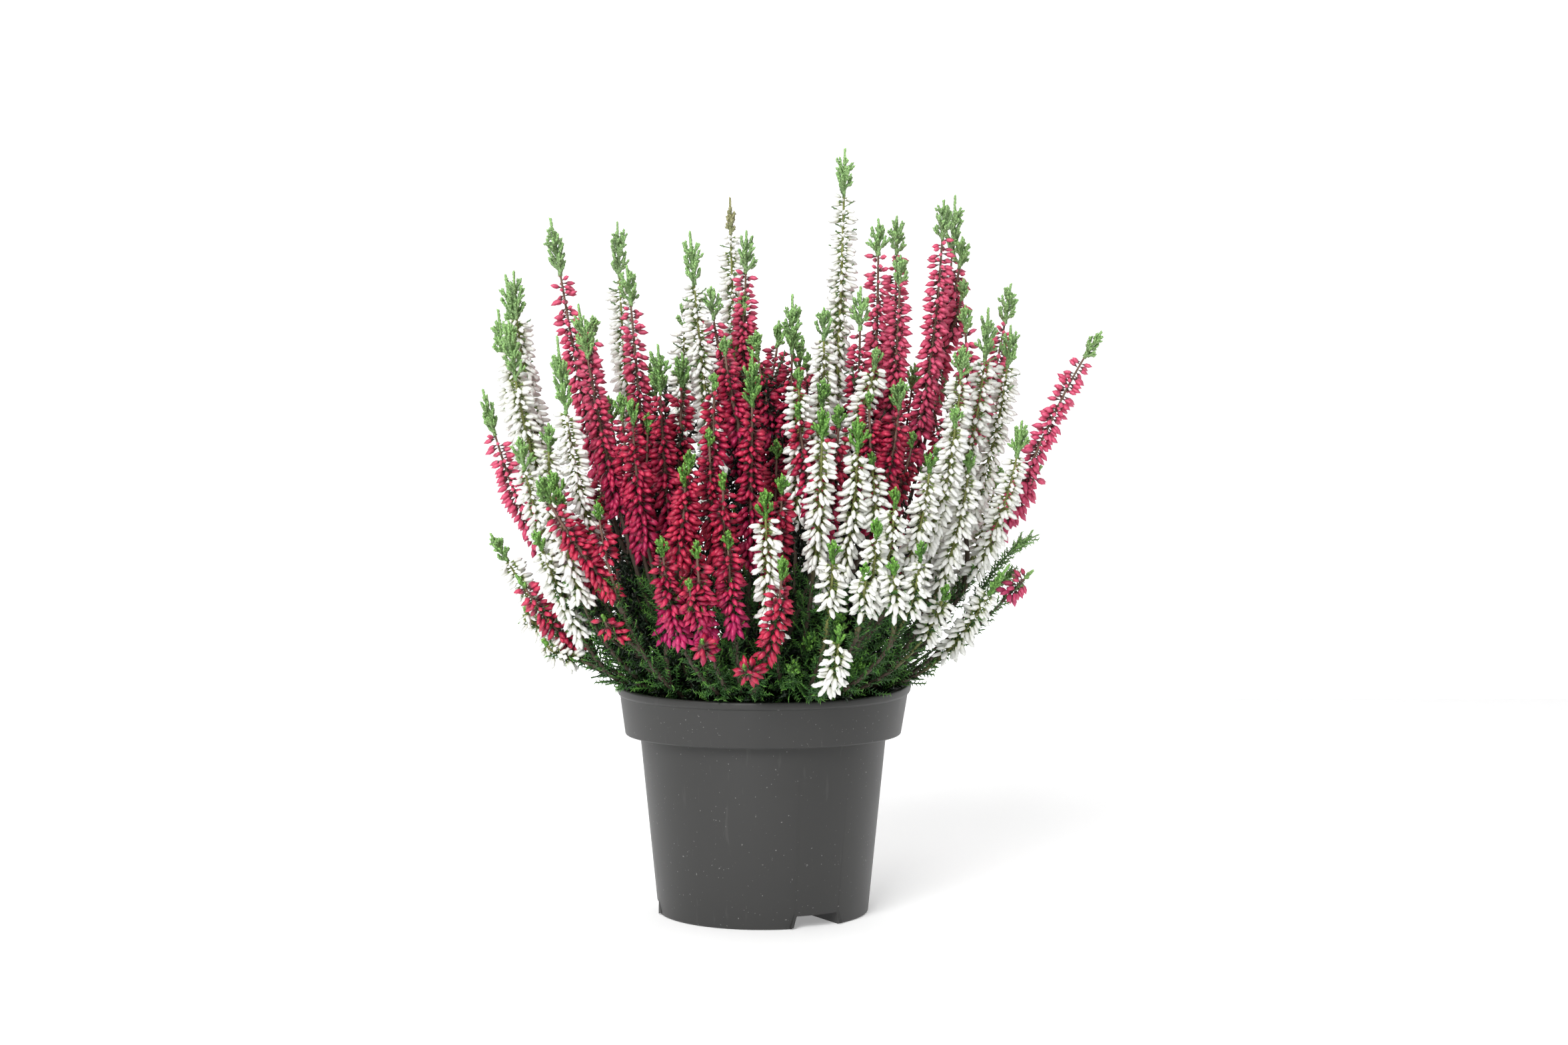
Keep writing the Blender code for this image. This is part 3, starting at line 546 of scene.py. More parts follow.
class Growth(Tree):
    """A Geometry Nodes tree with named inputs."""

    def __init__(self, name, **kinds):
        super().__init__(bpy.data.node_groups.new(name, "GeometryNodeTree"))
        face = self.tree.interface
        face.new_socket("Geometry", in_out="INPUT", socket_type="NodeSocketGeometry")
        for label, kind in kinds.items():
            face.new_socket(label.replace("_", " "), in_out="INPUT",
                            socket_type="NodeSocket" + kind)
        face.new_socket("Geometry", in_out="OUTPUT", socket_type="NodeSocketGeometry")
        self.given = self.node("NodeGroupInput", {}, {})

    def random(self, low, high, seed):
        return self.node("FunctionNodeRandomValue", {"data_type": "FLOAT"},
                         {2: low, 3: high, "Seed": seed})[1]

    def attribute(self, name):
        return self.node("GeometryNodeInputNamedAttribute", {"data_type": "FLOAT"},
                         {"Name": name})["Attribute"]

    def curve(self):
        """The given polylines as curves."""
        return self.node("GeometryNodeMeshToCurve", {}, {"Mesh": self.given["Geometry"]})[0]

    def spots(self, curve):
        """Points a Pitch apart along a curve, each with a draw, their rotations and indices."""
        found = self.node("GeometryNodeCurveToPoints", {"mode": "LENGTH"},
                          {"Curve": curve, "Length": self.given["Pitch"]})
        drawn = self.node("GeometryNodeStoreNamedAttribute",
                          {"data_type": "FLOAT", "domain": "POINT"},
                          {"Geometry": found["Points"], "Name": "draw",
                           "Value": self.random(0.0, 1.0, self.given["Seed"])})[0]
        return drawn, found["Rotation"], self.node("GeometryNodeInputIndex", {}, {})[0]

    def turned(self, rotation, round_angle, tilt):
        """The rotation, turned round its stem and then tilted away from it."""
        for axis, angle in (((0.0, 0.0, 1.0), round_angle), ((0.0, 1.0, 0.0), tilt)):
            turn = self.node("FunctionNodeAxisAngleToRotation", {},
                             {"Axis": axis, "Angle": angle})[0]
            rotation = self.node("FunctionNodeRotateRotation", {"rotation_space": "LOCAL"},
                                 {"Rotation": rotation, "Rotate By": turn})[0]
        return rotation

    def tubes(self, curve, sides):
        """Round stems along a curve, as thick as its points say."""
        ring = self.node("GeometryNodeCurvePrimitiveCircle", {},
                         {"Resolution": sides, "Radius": 1.0})[0]
        return self.node("GeometryNodeCurveToMesh", {},
                         {"Curve": curve, "Profile Curve": ring, "Fill Caps": True,
                          "Scale": self.attribute("thick")})[0]

    def placed(self, points, label, rotation, scale, **inputs):
        """The mesh of the object that one input names, at each point."""
        model = self.node("GeometryNodeObjectInfo", {}, {"Object": self.given[label]})["Geometry"]
        return self.node("GeometryNodeInstanceOnPoints", {},
                         {"Points": points, "Instance": model, "Rotation": rotation,
                          "Scale": scale, **inputs})[0]

    def end(self, geometry, smooth):
        """Real meshes with the material that the tree is given."""
        real = self.node("GeometryNodeRealizeInstances", {}, {"Geometry": geometry})[0]
        shaded = self.node("GeometryNodeSetShadeSmooth", {}, {0: real, "Shade Smooth": smooth})[0]
        dressed = self.node("GeometryNodeSetMaterial", {},
                            {"Geometry": shaded, "Material": self.given["Material"]})[0]
        self.node("NodeGroupOutput", {}, {0: dressed})

    def grow(self, piece, **inputs):
        """Run the tree on an object and keep the result as its plain mesh."""
        modifier = piece.modifiers.new("growth", "NODES")
        modifier.node_group = self.tree
        for item in self.tree.interface.items_tree:
            label = item.name.replace(" ", "_")
            if item.in_out == "INPUT" and label in inputs:
                modifier[item.identifier] = inputs[label]
        apply_modifiers(piece)
        return piece


class Wires:
    """Polylines with values at their points, along which a tree grows a piece."""

    def __init__(self):
        self.points = []
        self.edges = []
        self.values = {}

    def add(self, points, **values):
        start = len(self.points)
        self.points.extend(points)
        self.edges.extend((start + i, start + i + 1) for i in range(len(points) - 1))
        for name, value in values.items():
            shape = (len(points), 3) if name == "colour" else (len(points),)
            rows = np.broadcast_to(np.asarray(value, float), shape)
            self.values.setdefault(name, []).extend(rows)

    def object(self, name):
        mesh = new_mesh(name, self.points, self.edges, [])
        for label, rows in self.values.items():
            if label == "colour":
                store = mesh.attributes.new(label, "FLOAT_VECTOR", "POINT")
                store.data.foreach_set("vector", np.array(rows, np.float32).ravel())
            else:
                store = mesh.attributes.new(label, "FLOAT", "POINT")
                store.data.foreach_set("value", np.array(rows, np.float32))
        return linked_object(name, mesh)


def new_mesh(name, points, edges, faces):
    """A mesh through points in millimetres."""
    mesh = bpy.data.meshes.new(name)
    mesh.from_pydata([[value * METRE for value in point] for point in points], edges, faces)
    return mesh


def linked_object(name, data):
    made = bpy.data.objects.new(name, data)
    bpy.context.scene.collection.objects.link(made)
    return made


def apply_modifiers(thing):
    """Keep an object's mesh as its modifiers leave it, and remove them."""
    bpy.context.view_layer.update()
    graph = bpy.context.evaluated_depsgraph_get()
    mesh = bpy.data.meshes.new_from_object(thing.evaluated_get(graph))
    thing.modifiers.clear()
    thing.data = mesh


# ---- finishes

def shade(*screen):
    """A colour as it looks on a screen, 0 to 255, in the linear values that shaders take."""
    value = np.array(screen) / 255.0
    return np.where(value <= 0.04045, value / 12.92, ((value + 0.055) / 1.055) ** 2.4)


CRIMSON = shade(158, 16, 57)
CORAL = shade(204, 47, 80)
# The next colour is painted shade at the feet of red buds
SHADED_WINE = shade(84, 8, 44)
MAGENTA = shade(200, 40, 122)
# The next colour is painted light: a pale pink mixed into red buds at the crown's outline
PAINTED_LIGHT_ROSE = shade(226, 98, 132)
RED_CALYX = shade(92, 54, 52)
PURE_WHITE = shade(247, 248, 243)
# The next colour is painted shade at the feet of white buds
SHADED_CREAM = shade(233, 232, 214)
TAN = shade(205, 170, 120)
GREEN_CALYX = shade(112, 132, 62)
# The next colour is painted light: a pale green mixed into leaves at the crown's outline
PAINTED_LIGHT_GREEN = shade(197, 232, 164)
YOUNG_GREEN = shade(108, 162, 60)
MID_GREEN = shade(66, 118, 46)
DEEP_GREEN = shade(32, 62, 32)
DRY_BROWN = shade(150, 120, 96)
RED_STEM = shade(112, 84, 72)
WHITE_STEM = shade(128, 134, 72)
BARK = shade(82, 68, 56)
POT_GREY = shade(47, 47, 46)
PEAT_BROWN = shade(48, 36, 32)
PEAT_DARK = shade(20, 14, 13)

# The crown's outline from the front, in metres, and how much painted light makes buds and leaves
# paler out there
CROWN_MIDDLE = 0.100
CROWN_HALF_WIDTH = 0.120
CROWN_HALF_HEIGHT = 0.150
PAINTED_LIGHT_ON_BUDS = 0.76
PAINTED_LIGHT_ON_LEAVES = 0.3


class Finish(Tree):
    """A material whose Principled shader gets its values from nodes."""

    def __init__(self, name, roughness):
        self.material = bpy.data.materials.new(name)
        self.material.use_nodes = True
        super().__init__(self.material.node_tree)
        self.shader = self.tree.nodes["Principled BSDF"]
        self.shader.inputs["Roughness"].default_value = roughness

    def place(self):
        return self.node("ShaderNodeTexCoord", {}, {})["Object"]

    def outline_painted_light(self):
        """0 inside the crown, 1 at its outline as seen from the front; painted light makes buds and
        leaves paler there.
        """
        place = self.node("ShaderNodeSeparateXYZ", {}, {"Vector": self.place()})
        aside = place["X"] / CROWN_HALF_WIDTH
        above = (place["Z"] - CROWN_MIDDLE) / CROWN_HALF_HEIGHT
        return self.ramp(aside * aside + above * above, (0.42, 0.0), (0.77, 1.0))

    def attribute(self, name):
        return self.node("ShaderNodeAttribute", {"attribute_name": name}, {})

    def noise(self, scale, detail=2.0, place=None):
        """Noise from 0 to 1 whose patches are about 1 / scale metres across."""
        return self.node("ShaderNodeTexNoise", {},
                         {"Vector": place or self.place(), "Scale": scale, "Detail": detail})["Fac"]

    def ramp(self, value, *stops):
        return self.node("ShaderNodeValToRGB", {"stops": stops}, {"Fac": value})["Color"]

    def mix(self, factor, first, second):
        """A colour between two."""
        colours = [value if isinstance(value, Wire) else (*value, 1.0) for value in (first, second)]
        return self.node("ShaderNodeMix", {"data_type": "RGBA"},
                         {"Factor": factor, 6: colours[0], 7: colours[1]})[2]

    def brighter(self, colour, amount):
        """The colour times an amount."""
        grey = self.node("ShaderNodeCombineXYZ", {}, {0: amount, 1: amount, 2: amount})[0]
        return self.node("ShaderNodeVectorMath", {"operation": "MULTIPLY"}, {0: colour, 1: grey})[0]

    def feed(self, socket, value):
        self.tree.links.new(value.socket, self.shader.inputs[socket])

    def bump(self, height, distance, strength=1.0):
        made = self.node("ShaderNodeBump", {}, {"Strength": strength, "Distance": distance * METRE,
                                                "Height": height})
        self.feed("Normal", made["Normal"])


def bud_finish(name, body, bright, dark, odd, calyx, outer=None):
    """Closed buds: a waxy body, lighter towards some tips, with painted shade towards the foot and
    a small calyx at the foot; where given, painted light at the crown's outline.
    """
    finish = Finish(name, 0.42)
    along = finish.attribute("along")["Fac"]
    draw = finish.attribute("draw")["Fac"]
    tone = finish.attribute("tone")["Fac"]
    patch = finish.noise(220.0)
    spotted = finish.ramp(draw * 0.6 + patch * 0.4, (0.2, 0.0), (0.8, 1.0))
    colour = finish.mix(spotted, body, bright)
    # Painted shade: each bud darkens towards its foot
    colour = finish.mix(finish.ramp(along, (0.35, 0.75), (0.62, 0.0)), colour, dark)
    colour = finish.mix(tone, colour, odd)
    if outer is not None:
        # Painted light: buds turn paler towards the crown's outline
        colour = finish.mix(finish.outline_painted_light() * PAINTED_LIGHT_ON_BUDS, colour, outer)
    colour = finish.mix(finish.ramp(along, (0.33, 1.0), (0.40, 0.0)), colour, calyx)
    finish.feed("Base Color", finish.brighter(colour, 0.86 + finish.noise(1400.0) * 0.28))
    finish.bump(finish.noise(2600.0), 0.08, 0.5)
    return finish.material


def leaf_finish():
    """Scale leaves: the colour of their shoot, lighter at the tips, with painted light that pales
    them towards the crown's outline, and a faint waxy sheen.
    """
    finish = Finish("scale_leaves", 0.5)
    colour = finish.attribute("colour")["Color"]
    along = finish.attribute("along")["Fac"]
    draw = finish.attribute("draw")["Fac"]
    light = 0.62 + along * 0.5 + draw * 0.3
    mottled = finish.brighter(colour, light * (0.8 + finish.noise(300.0) * 0.4))
    # Painted light: leaves turn paler towards the crown's outline
    outline_lit_leaves = finish.mix(finish.outline_painted_light() * PAINTED_LIGHT_ON_LEAVES, mottled, PAINTED_LIGHT_GREEN)
    finish.feed("Base Color", outline_lit_leaves)
    finish.bump(finish.noise(3000.0), 0.08, 0.5)
    return finish.material


def stem_finish():
    """Woody stems: ridged grey-brown bark low down, smoother and greener above."""
    finish = Finish("heather_stems", 0.7)
    colour = finish.attribute("colour")["Color"]
    streaks = finish.noise(500.0, 4.0)
    finish.feed("Base Color", finish.brighter(colour, 0.55 + streaks * 0.9))
    finish.bump(finish.noise(900.0, 4.0), 0.5, 0.8)
    return finish.material


def peat_finish():
    """Moist peat: near black with brown fibres."""
    finish = Finish("peat", 0.95)
    fibres = finish.noise(700.0, 6.0)
    colour = finish.mix(finish.ramp(fibres, (0.42, 0.0), (0.68, 1.0)), PEAT_DARK, PEAT_BROWN)
    finish.feed("Base Color", colour)
    finish.bump(fibres, 1.2)
    return finish.material


def pot_finish():
    """Moulded grey plastic: satin, with faint mottling, fine scuffs and a few pale specks."""
    finish = Finish("grey_pot_plastic", 0.42)
    mottle = finish.noise(35.0, 4.0)
    grain = finish.noise(2500.0, 2.0)
    specks = finish.ramp(finish.noise(950.0, 1.0), (0.73, 0.0), (0.78, 1.0))
    streaked = finish.node("ShaderNodeMapping", {},
                           {"Vector": finish.place(), "Scale": (1.0, 1.0, 0.12)})[0]
    scuffs = finish.ramp(finish.noise(420.0, 3.0, streaked), (0.66, 0.0), (0.74, 1.0))
    colour = finish.brighter(POT_GREY, 0.88 + mottle * 0.24)
    colour = finish.mix(specks * 0.25, colour, shade(190, 190, 186))
    colour = finish.mix(scuffs * 0.05, colour, shade(150, 150, 146))
    finish.feed("Base Color", colour)
    finish.feed("Roughness", 0.36 + mottle * 0.12 + scuffs * 0.08 + grain * 0.04)
    finish.bump(grain * 0.6 + mottle * 0.4, 0.03, 0.5)
    return finish.material


# ---- meshes

def ring_mesh(name, rings, sides, first=0.0):
    """A mesh through rings along Z, each an x, a height and a radius; no radius makes it a point.

    The first corner of a ring stands that share of a side round from the X axis.
    """
    points = []
    rows = []
    for x, height, radius in rings:
        count = sides if radius else 1
        rows.append(range(len(points), len(points) + count))
        for k in range(count):
            angle = 2 * math.pi * (k + first) / sides
            points.append((x + radius * math.cos(angle), radius * math.sin(angle), height))
    faces = [tuple(reversed(rows[0]))] if len(rows[0]) > 1 else []
    for low, high in zip(rows, rows[1:]):
        for k in range(sides):
            n = (k + 1) % sides
            if len(low) == 1:
                faces.append((low[0], high[n], high[k]))
            elif len(high) == 1:
                faces.append((low[k], low[n], high[0]))
            else:
                faces.append((low[k], low[n], high[n], high[k]))
    return new_mesh(name, points, [], faces)


def turned_shape(name, profile, sides):
    """A solid turned round the Z axis; its profile of radius and height starts and ends on it."""
    rings = [(0.0, height, radius) for radius, height in profile]
    return linked_object(name, ring_mesh(name, rings, sides, first=0.5))


def spindle(name, profile, sides, sag):
    """A closed pointed body along +Z: profile gives height and radius, sag bends its end to -X."""
    top = profile[-1][0]
    rings = [(-sag * (height / top) ** 2, height, radius) for height, radius in profile]
    mesh = ring_mesh(name, rings, sides)
    along = [height / top for height, radius in profile for _ in range(sides if radius else 1)]
    mesh.attributes.new("along", "FLOAT", "POINT").data.foreach_set("value", along)
    return bpy.data.objects.new(name, mesh)


def peat_crumb():
    """A small rough lump of peat."""
    mesh = bpy.data.meshes.new("peat_crumb")
    golden = (1 + math.sqrt(5)) / 2
    corners = []
    for a in (-1.0, 1.0):
        for b in (-golden, golden):
            corners.extend(((0.0, a, b), (a, b, 0.0), (b, 0.0, a)))
    hull = bpy.data.meshes.new("crumb_points")
    hull.from_pydata(corners, [], [])
    shape = bmesh.new()
    shape.from_mesh(hull)
    bmesh.ops.convex_hull(shape, input=shape.verts)
    for vertex in shape.verts:
        rough = 0.75 + 0.5 * noise.noise(vertex.co * 1.7)
        vertex.co = vertex.co.normalized() * rough * METRE
    bmesh.ops.recalc_face_normals(shape, faces=shape.faces)
    shape.to_mesh(mesh)
    shape.free()
    bpy.data.meshes.remove(hull)
    return bpy.data.objects.new("peat_crumb", mesh)


# ---- trees that grow the plant

def bud_growth():
    """Buds in fours round a stem: level near the top, hanging lower down."""
    tree = Growth("buds_round_a_stem", Bud="Object", Pitch="Float", Top_angle="Float",
                  Foot_angle="Float", Seed="Int", Material="Material")
    given = tree.given
    seed = given["Seed"]
    points, rotation, index = tree.spots(tree.curve())
    share = tree.attribute("share")
    round_angle = (index * (math.pi / 2) + (index / 4).floor() * (math.pi / 4)
                   + tree.random(-0.35, 0.35, seed + 1))
    tilt = (given["Foot angle"] + (given["Top angle"] - given["Foot angle"]) * share
            + tree.random(-0.28, 0.28, seed + 2))
    size = tree.random(0.82, 1.12, seed + 3) * (1.0 - share * share * 0.16)
    kept = tree.node("FunctionNodeCompare", {"data_type": "FLOAT", "operation": "LESS_THAN"},
                     {0: tree.random(0.0, 1.0, seed + 4), 1: 2.5 - share * 2.1})[0]
    rotation = tree.turned(rotation, round_angle, tilt)
    tree.end(tree.placed(points, "Bud", rotation, size, Selection=kept), True)
    return tree


def leaf_growth():
    """Leaves in pairs along thin twigs, crossed or flat as a comb, and the twigs."""
    tree = Growth("leaves_on_twigs", Leaf="Object", Pitch="Float", Turn="Float", Seed="Int",
                  Material="Material")
    seed = tree.given["Seed"]
    curve = tree.curve()
    points, rotation, index = tree.spots(curve)
    round_angle = (index * math.pi + (index / 2).floor() * tree.given["Turn"]
                   + tree.attribute("roll") + tree.random(-0.35, 0.35, seed + 1))
    tilt = tree.attribute("spread") + tree.random(-0.12, 0.12, seed + 2)
    size = (tree.attribute("size") * (1.0 - tree.attribute("share") * 0.4)
            * tree.random(0.85, 1.15, seed + 3))
    leaves = tree.placed(points, "Leaf", tree.turned(rotation, round_angle, tilt), size)
    both = tree.node("GeometryNodeJoinGeometry", {}, {0: tree.tubes(curve, 3)})
    tree.tree.links.new(leaves.socket, both.made.inputs[0])
    tree.end(both[0], True)
    return tree


def stem_growth():
    """Round stems whose radius is given at their points."""
    tree = Growth("stems", Material="Material")
    tree.end(tree.tubes(tree.curve(), 6), True)
    return tree


def crumb_growth():
    """Crumbs scattered over the faces of a surface."""
    tree = Growth("scattered_crumbs", Crumb="Object", Density="Float", Seed="Int",
                  Material="Material")
    given = tree.given
    spots = tree.node("GeometryNodeDistributePointsOnFaces", {},
                      {"Mesh": given["Geometry"], "Density": given["Density"],
                       "Seed": given["Seed"]})[0]
    turn = tree.node("FunctionNodeRandomValue", {"data_type": "FLOAT_VECTOR"},
                     {0: (0.0,) * 3, 1: (WHOLE_TURN,) * 3, "Seed": given["Seed"]})[0]
    size = tree.random(0.25, 1.0, given["Seed"] + 5)
    tree.end(tree.placed(spots, "Crumb", turn, size * size * 1.5 + 0.2), False)
    return tree


# ---- the plants

# Leafy tips: reach and spacing of the shoots round them, how far their leaves stand off, how much
# the shoots bend up, and their forks: where, how long, how far aside and how much bent
TIP_REACH = 6.4
TIP_STEP = 1.0
TIP_SPREAD = 0.42
TIP_BEND = 0.34
FORKS_AT = (0.3, 0.58)
FORK_LENGTH = 0.45
FORK_RISE = 0.75
FORK_BEND = 0.3

# High tips get painted light that makes them paler: from which height, over what height and how
# much; a tip whose direction has less z than UPRIGHT leans, and is narrower
TIP_PAINTED_LIGHT_FROM = 170.0
TIP_PAINTED_LIGHT_OVER = 90.0
TIP_MOST_PAINTED_LIGHT = 0.075
UPRIGHT = 0.88

# Green stalks between the buds: from which height and depth on, spacing, shortest and longest,
# least and most angle with the stem
STALKS_ABOVE = 205.0
STALKS_BEHIND = -20.0
STALK_STEP = 1.9
STALK_LENGTHS = (3.8, 5.6)
STALK_RISES = (0.9, 1.35)

# Side twigs: least and most angle with the stem in degrees, bend, gaps from the rim and the soil;
# from where, over what distance out and how far they get shorter, and where painted light makes
# them lighter
TWIG_RISES = (38.0, 66.0)
TWIG_BEND = 0.22
TWIG_RIM_GAP = 1.2
TWIG_SOIL_GAP = 1.5
SHORTER_FROM = 46.0
SHORTER_OVER = 36.0
SHORTEST = 0.45
TWIG_PAINTED_LIGHT_FROM = 20.0
TWIG_PAINTED_LIGHT_OVER = 30.0

# The row of SPIKES that has buds at its very end only, how long they are, and the withered row
PINK_END = 63
PINK_BUDS = 10.0
DRY_SPIKE = 31

# Buds: points along a spike's buds, how far the lowest ones hang below their place, the height from
# which white spikes get sparse at the top as red ones do, spacing, angles at the top and the foot
BUD_SPOTS = 20
BUD_DROOP = 4.0
SPARSE_FROM = 266.0
BUD_PITCH = 0.35
BUD_TOP_ANGLE = math.radians(86.0)
BUD_FOOT_ANGLE = math.radians(132.0)

# Red buds of an odd tone: on spikes with a low foot between two x, on those further right than a
# third x, and a little on tall ones
ODD_FOOT = 110.0
ODD_FROM = -45.0
ODD_TO = -8.0
ODD_RIGHT = 98.0
ODD_TALL = 185.0

# Foliage: the height that low leaves reach, the height and distance out that shaded twigs reach
LOW_TOP = 130.0
INNER_TOP = 200.0
INNER_RADIUS = 44.0

# The trunks: their radii from below the soil up; the first plant's seed
TRUNK_RADII = np.array((2.8, 2.6, 1.9))
FIRST_SEED = 11

# The stems: how far apart points are for wood and for buds, radius at the foot and how much of it
# goes, and the length over which the bark turns young, from a little below the buds
WOOD_STEP = 4.0
BUD_STEP = 3.0
STEM_FOOT = 1.15
STEM_TAPER = 0.75
BARK_END = 22.0
BARK_BELOW = 4.0

# Spikes with more buds than this can carry side spikes, which stand free below their own buds
MAIN_BUDS = 26.0
SIDE_STALK = 14.0

# Leafy shoots whose tips lie further right than this reach out alone, and are closer set
FAR_RIGHT = 80.0

# A direction that no stem runs along
ACROSS = (0.31, 0.95, 0.02)
WHOLE_TURN = 6.28
TWIG = 0.3 * METRE

# The small shapes that are repeated: name, heights and radii, sides, how far the end bends to -X
MODELS = (
    ("red_bud", ((0.0, 0.0), (1.7, 0.4), (2.9, 1.02), (4.6, 0.98), (6.4, 0.0)), 4, -0.3),
    ("white_bud", ((0.0, 0.0), (1.7, 0.38), (3.0, 0.95), (5.5, 0.86), (6.7, 0.0)), 4, -0.3),
    ("tip_leaf", ((0.0, 0.82), (1.15, 0.0)), 3, -0.15),
    ("comb_leaf", ((0.0, 0.42), (2.3, 0.0)), 3, -0.3),
    ("shade_leaf", ((0.0, 1.1), (3.7, 0.0)), 3, -0.3),
)

# Each kind of leafy piece: its leaf, the leaves' spacing, the turn from pair to pair, the seed
LEAF_PIECES = {
    "tips": ("tip_leaf", 0.46, math.pi / 2, 3),
    "foliage": ("comb_leaf", 0.7, 0.0, 7),
    "inner_twigs": ("shade_leaf", 1.7, math.pi / 2, 9),
}

# Spikes with bare feet: colour, from and to which x and z their tips are, height of the lowest bud
BARE_FEET = (
    ("red", -60.0, -55.0, 155.0, 160.0, 138.0),
    ("red", -70.0, -42.0, 150.0, 206.0, 132.0),
    ("white", 14.0, 62.0, 135.0, 166.0, 120.0),
    ("white", 60.0, 80.0, 112.0, 135.0, 109.0),
)

# Elsewhere low spikes carry buds all the way down, middling and outer ones from the first height
# up, and all others from the second
LOW_SPIKE = 116.0
MIDDLING_SPIKE = 135.0
OUTER_SPIKE = 80.0
LOWEST_BUDS = (100.0, 106.0)

# Leafy shoots that fill the plants' shaded middle: x and z of the tip as seen, depth
INNER_SHOOTS = (
    (-52, 142, -20), (-56, 130, -36), (-46, 152, 0), (-62, 124, -10),
    (-44, 166, 12), (-40, 186, 8), (-25, 162, 14), (-21, 150, -28),
    (-5, 174, 0), (2, 190, 6), (9, 168, 10), (20, 186, 10),
    (31, 162, 0), (36, 140, -30), (45, 152, -10), (55, 144, -28),
    (61, 132, -20), (66, 146, 0), (-68, 134, -4), (-57, 150, -6),
    (-75, 138, -32), (-69, 122, -44), (-80, 145, -18), (-37, 200, 10),
    (-55.5, 154, 12), (-50, 138, 12), (-46, 121, -12), (-54, 126, 14),
    (71, 202, 4), (10, 170, -8), (17, 141, -30), (58, 157, -14),
)

# Small side spikes between the large ones, in the columns of SPIKES
SIDE_SPIKES = (
    ("white", -82, 186, -40, 10, 40, 0),
    ("white", 43, 215, -34, 8, 40, 0),
    ("white", 38.5, 133, -88, 6, 26, 0),
    ("white", 49, 135, -86, 6, 26, 0),
    ("red", -19, 205, -56, 6, 36, 0),
    ("red", 13, 194, -52, 6, 38, 0),
    ("red", -15, 219, -44, 7, 34, 0),
    ("red", -20, 238, -20, 12, 40, 0),
    ("red", 77, 231, 2, 10, 44, 0),
    ("red", -29, 127, -92, 4, 20, 0),
    ("red", -28.5, 176, -72, 7, 36, 0),
    ("red", -24, 104, -92, 2, 12, 0),
    ("red", -8, 94, -90, 2, 9, 0),
    ("red", -61.5, 113, -62, 2, 9, 0),
    ("white", -95, 244, -6, 18, 30, 0),
    ("white", -97, 225, -20, 13, 30, 0),
    ("white", -91, 117, -24, 3, 20, 0),
    ("white", -84, 104, -28, 3, 14, 0),
    ("red", -85.5, 166, -72, 10, 42, 14),
    ("red", -41, 211, 0, 16, 40, 0),
    ("red", 65, 196, 6, 3, 50, 0),
    ("red", 106, 170, 2, 2, 26, 25),
    ("red", -65, 227, 0, 8, 14, 0),
    ("red", -31, 213, -24, 14, 60, 0),
    ("red", -12, 218, -6, 10, 34, 0),
    ("red", -7.5, 235.5, -6, 8, 34, 0),
    ("red", -3, 221.5, -20, 11, 34, 0),
    ("white", 23, 203, -44, 10, 34, 0),
    ("red", 40, 198, -44, 6, 36, 0),
    ("white", 41, 175, -62, 5, 26, 0),
    ("red", 57, 183, -30, 6, 40, 0),
    ("red", 0.5, 207, -8, 8, 60, 0),
    ("red", -44, 190, -12, 8, 60, 0),
    ("red", -60, 176, -20, 7, 56, 0),
    ("red", 5, 180, -30, 7, 56, 0),
    ("red", -30, 160, -40, 6, 50, 0),
    ("red", 50, 200, -8, 7, 60, 0),
    ("white", 66, 178, -30, 6, 50, 0),
    ("white", 20, 165, -45, 6, 50, 0),
    ("red", 6, 225, 2, 10, 56, 0),
    ("red", 17, 213, 2, 7, 44, 0),
    ("red", 76, 257, 16, 12, 22, 0),
    ("red", 76.5, 241, 12, 8, 18, 0),
    ("red", -58, 148, 34, 8, 36, 14),
    ("white", -36, 152, 54, 8, 38, 8),
    ("red", -10, 156, 60, 8, 40, 2),
    ("white", 20, 158, 58, 8, 40, 2),
    ("red", 44, 152, 50, 8, 38, 8),
    ("white", 66, 146, 32, 8, 34, 16),
    ("white", -20, 124, 72, 6, 26, 8),
    ("red", 28, 122, 70, 6, 26, 8),
)


def unit(vector):
    return vector / max(np.linalg.norm(vector), 1e-9)


def clamp(value):
    return min(max(value, 0.0), 1.0)


def smoothed(points, step):
    """A smooth curve through the points, with a new point about every step."""
    tangents = np.gradient(points, axis=0)
    t = np.linspace(0.0, 1.0, 8, endpoint=False)[:, None]
    pieces = [hermite(t, a, b, leave, reach)
              for a, b, leave, reach in zip(points, points[1:], tangents, tangents[1:])]
    curve = np.vstack(pieces + [points[-1:]])
    length = path_length(curve)
    return stretch(curve, 0.0, length, max(2, round(length / step)) + 1)


def add_side_spikes(shoots):
    """Grow each small side spike out of the nearest stem of its colour."""
    mains = [shoot for shoot in shoots if shoot["buds"] > MAIN_BUDS]
    for colour, x, z, y, leaf, buds, lean in SIDE_SPIKES:
        tip = real_place(x, z, y)
        below = tip - np.array((0.0, 0.0, leaf + buds + SIDE_STALK))
        near = [(np.linalg.norm(shoot["path"] - below, axis=1), shoot)
                for shoot in mains if shoot["colour"] == colour]
        gaps, parent = min(near, key=lambda pair: pair[0].min())
        stem = parent["path"]
        spot = int(np.argmin(gaps))
        chord = tip - stem[spot]
        reach = np.linalg.norm(chord)
        leave = unit(stem[min(spot + 1, SAMPLES - 1)] - stem[max(spot - 1, 0)])
        leave = unit(leave + unit(chord)) * reach
        arrive = unit(chord * (1.0, 1.0, 0.0)) * math.sin(math.radians(lean))
        arrive[2] = math.cos(math.radians(lean))
        path = curved_path(stem[spot], tip, leave, END_PULL * reach * arrive, SAMPLES)
        shoots.append(dict(colour=colour, plant=parent["plant"], leaf=float(leaf),
                           buds=min(float(buds), reach - leaf - 4.0), path=path))


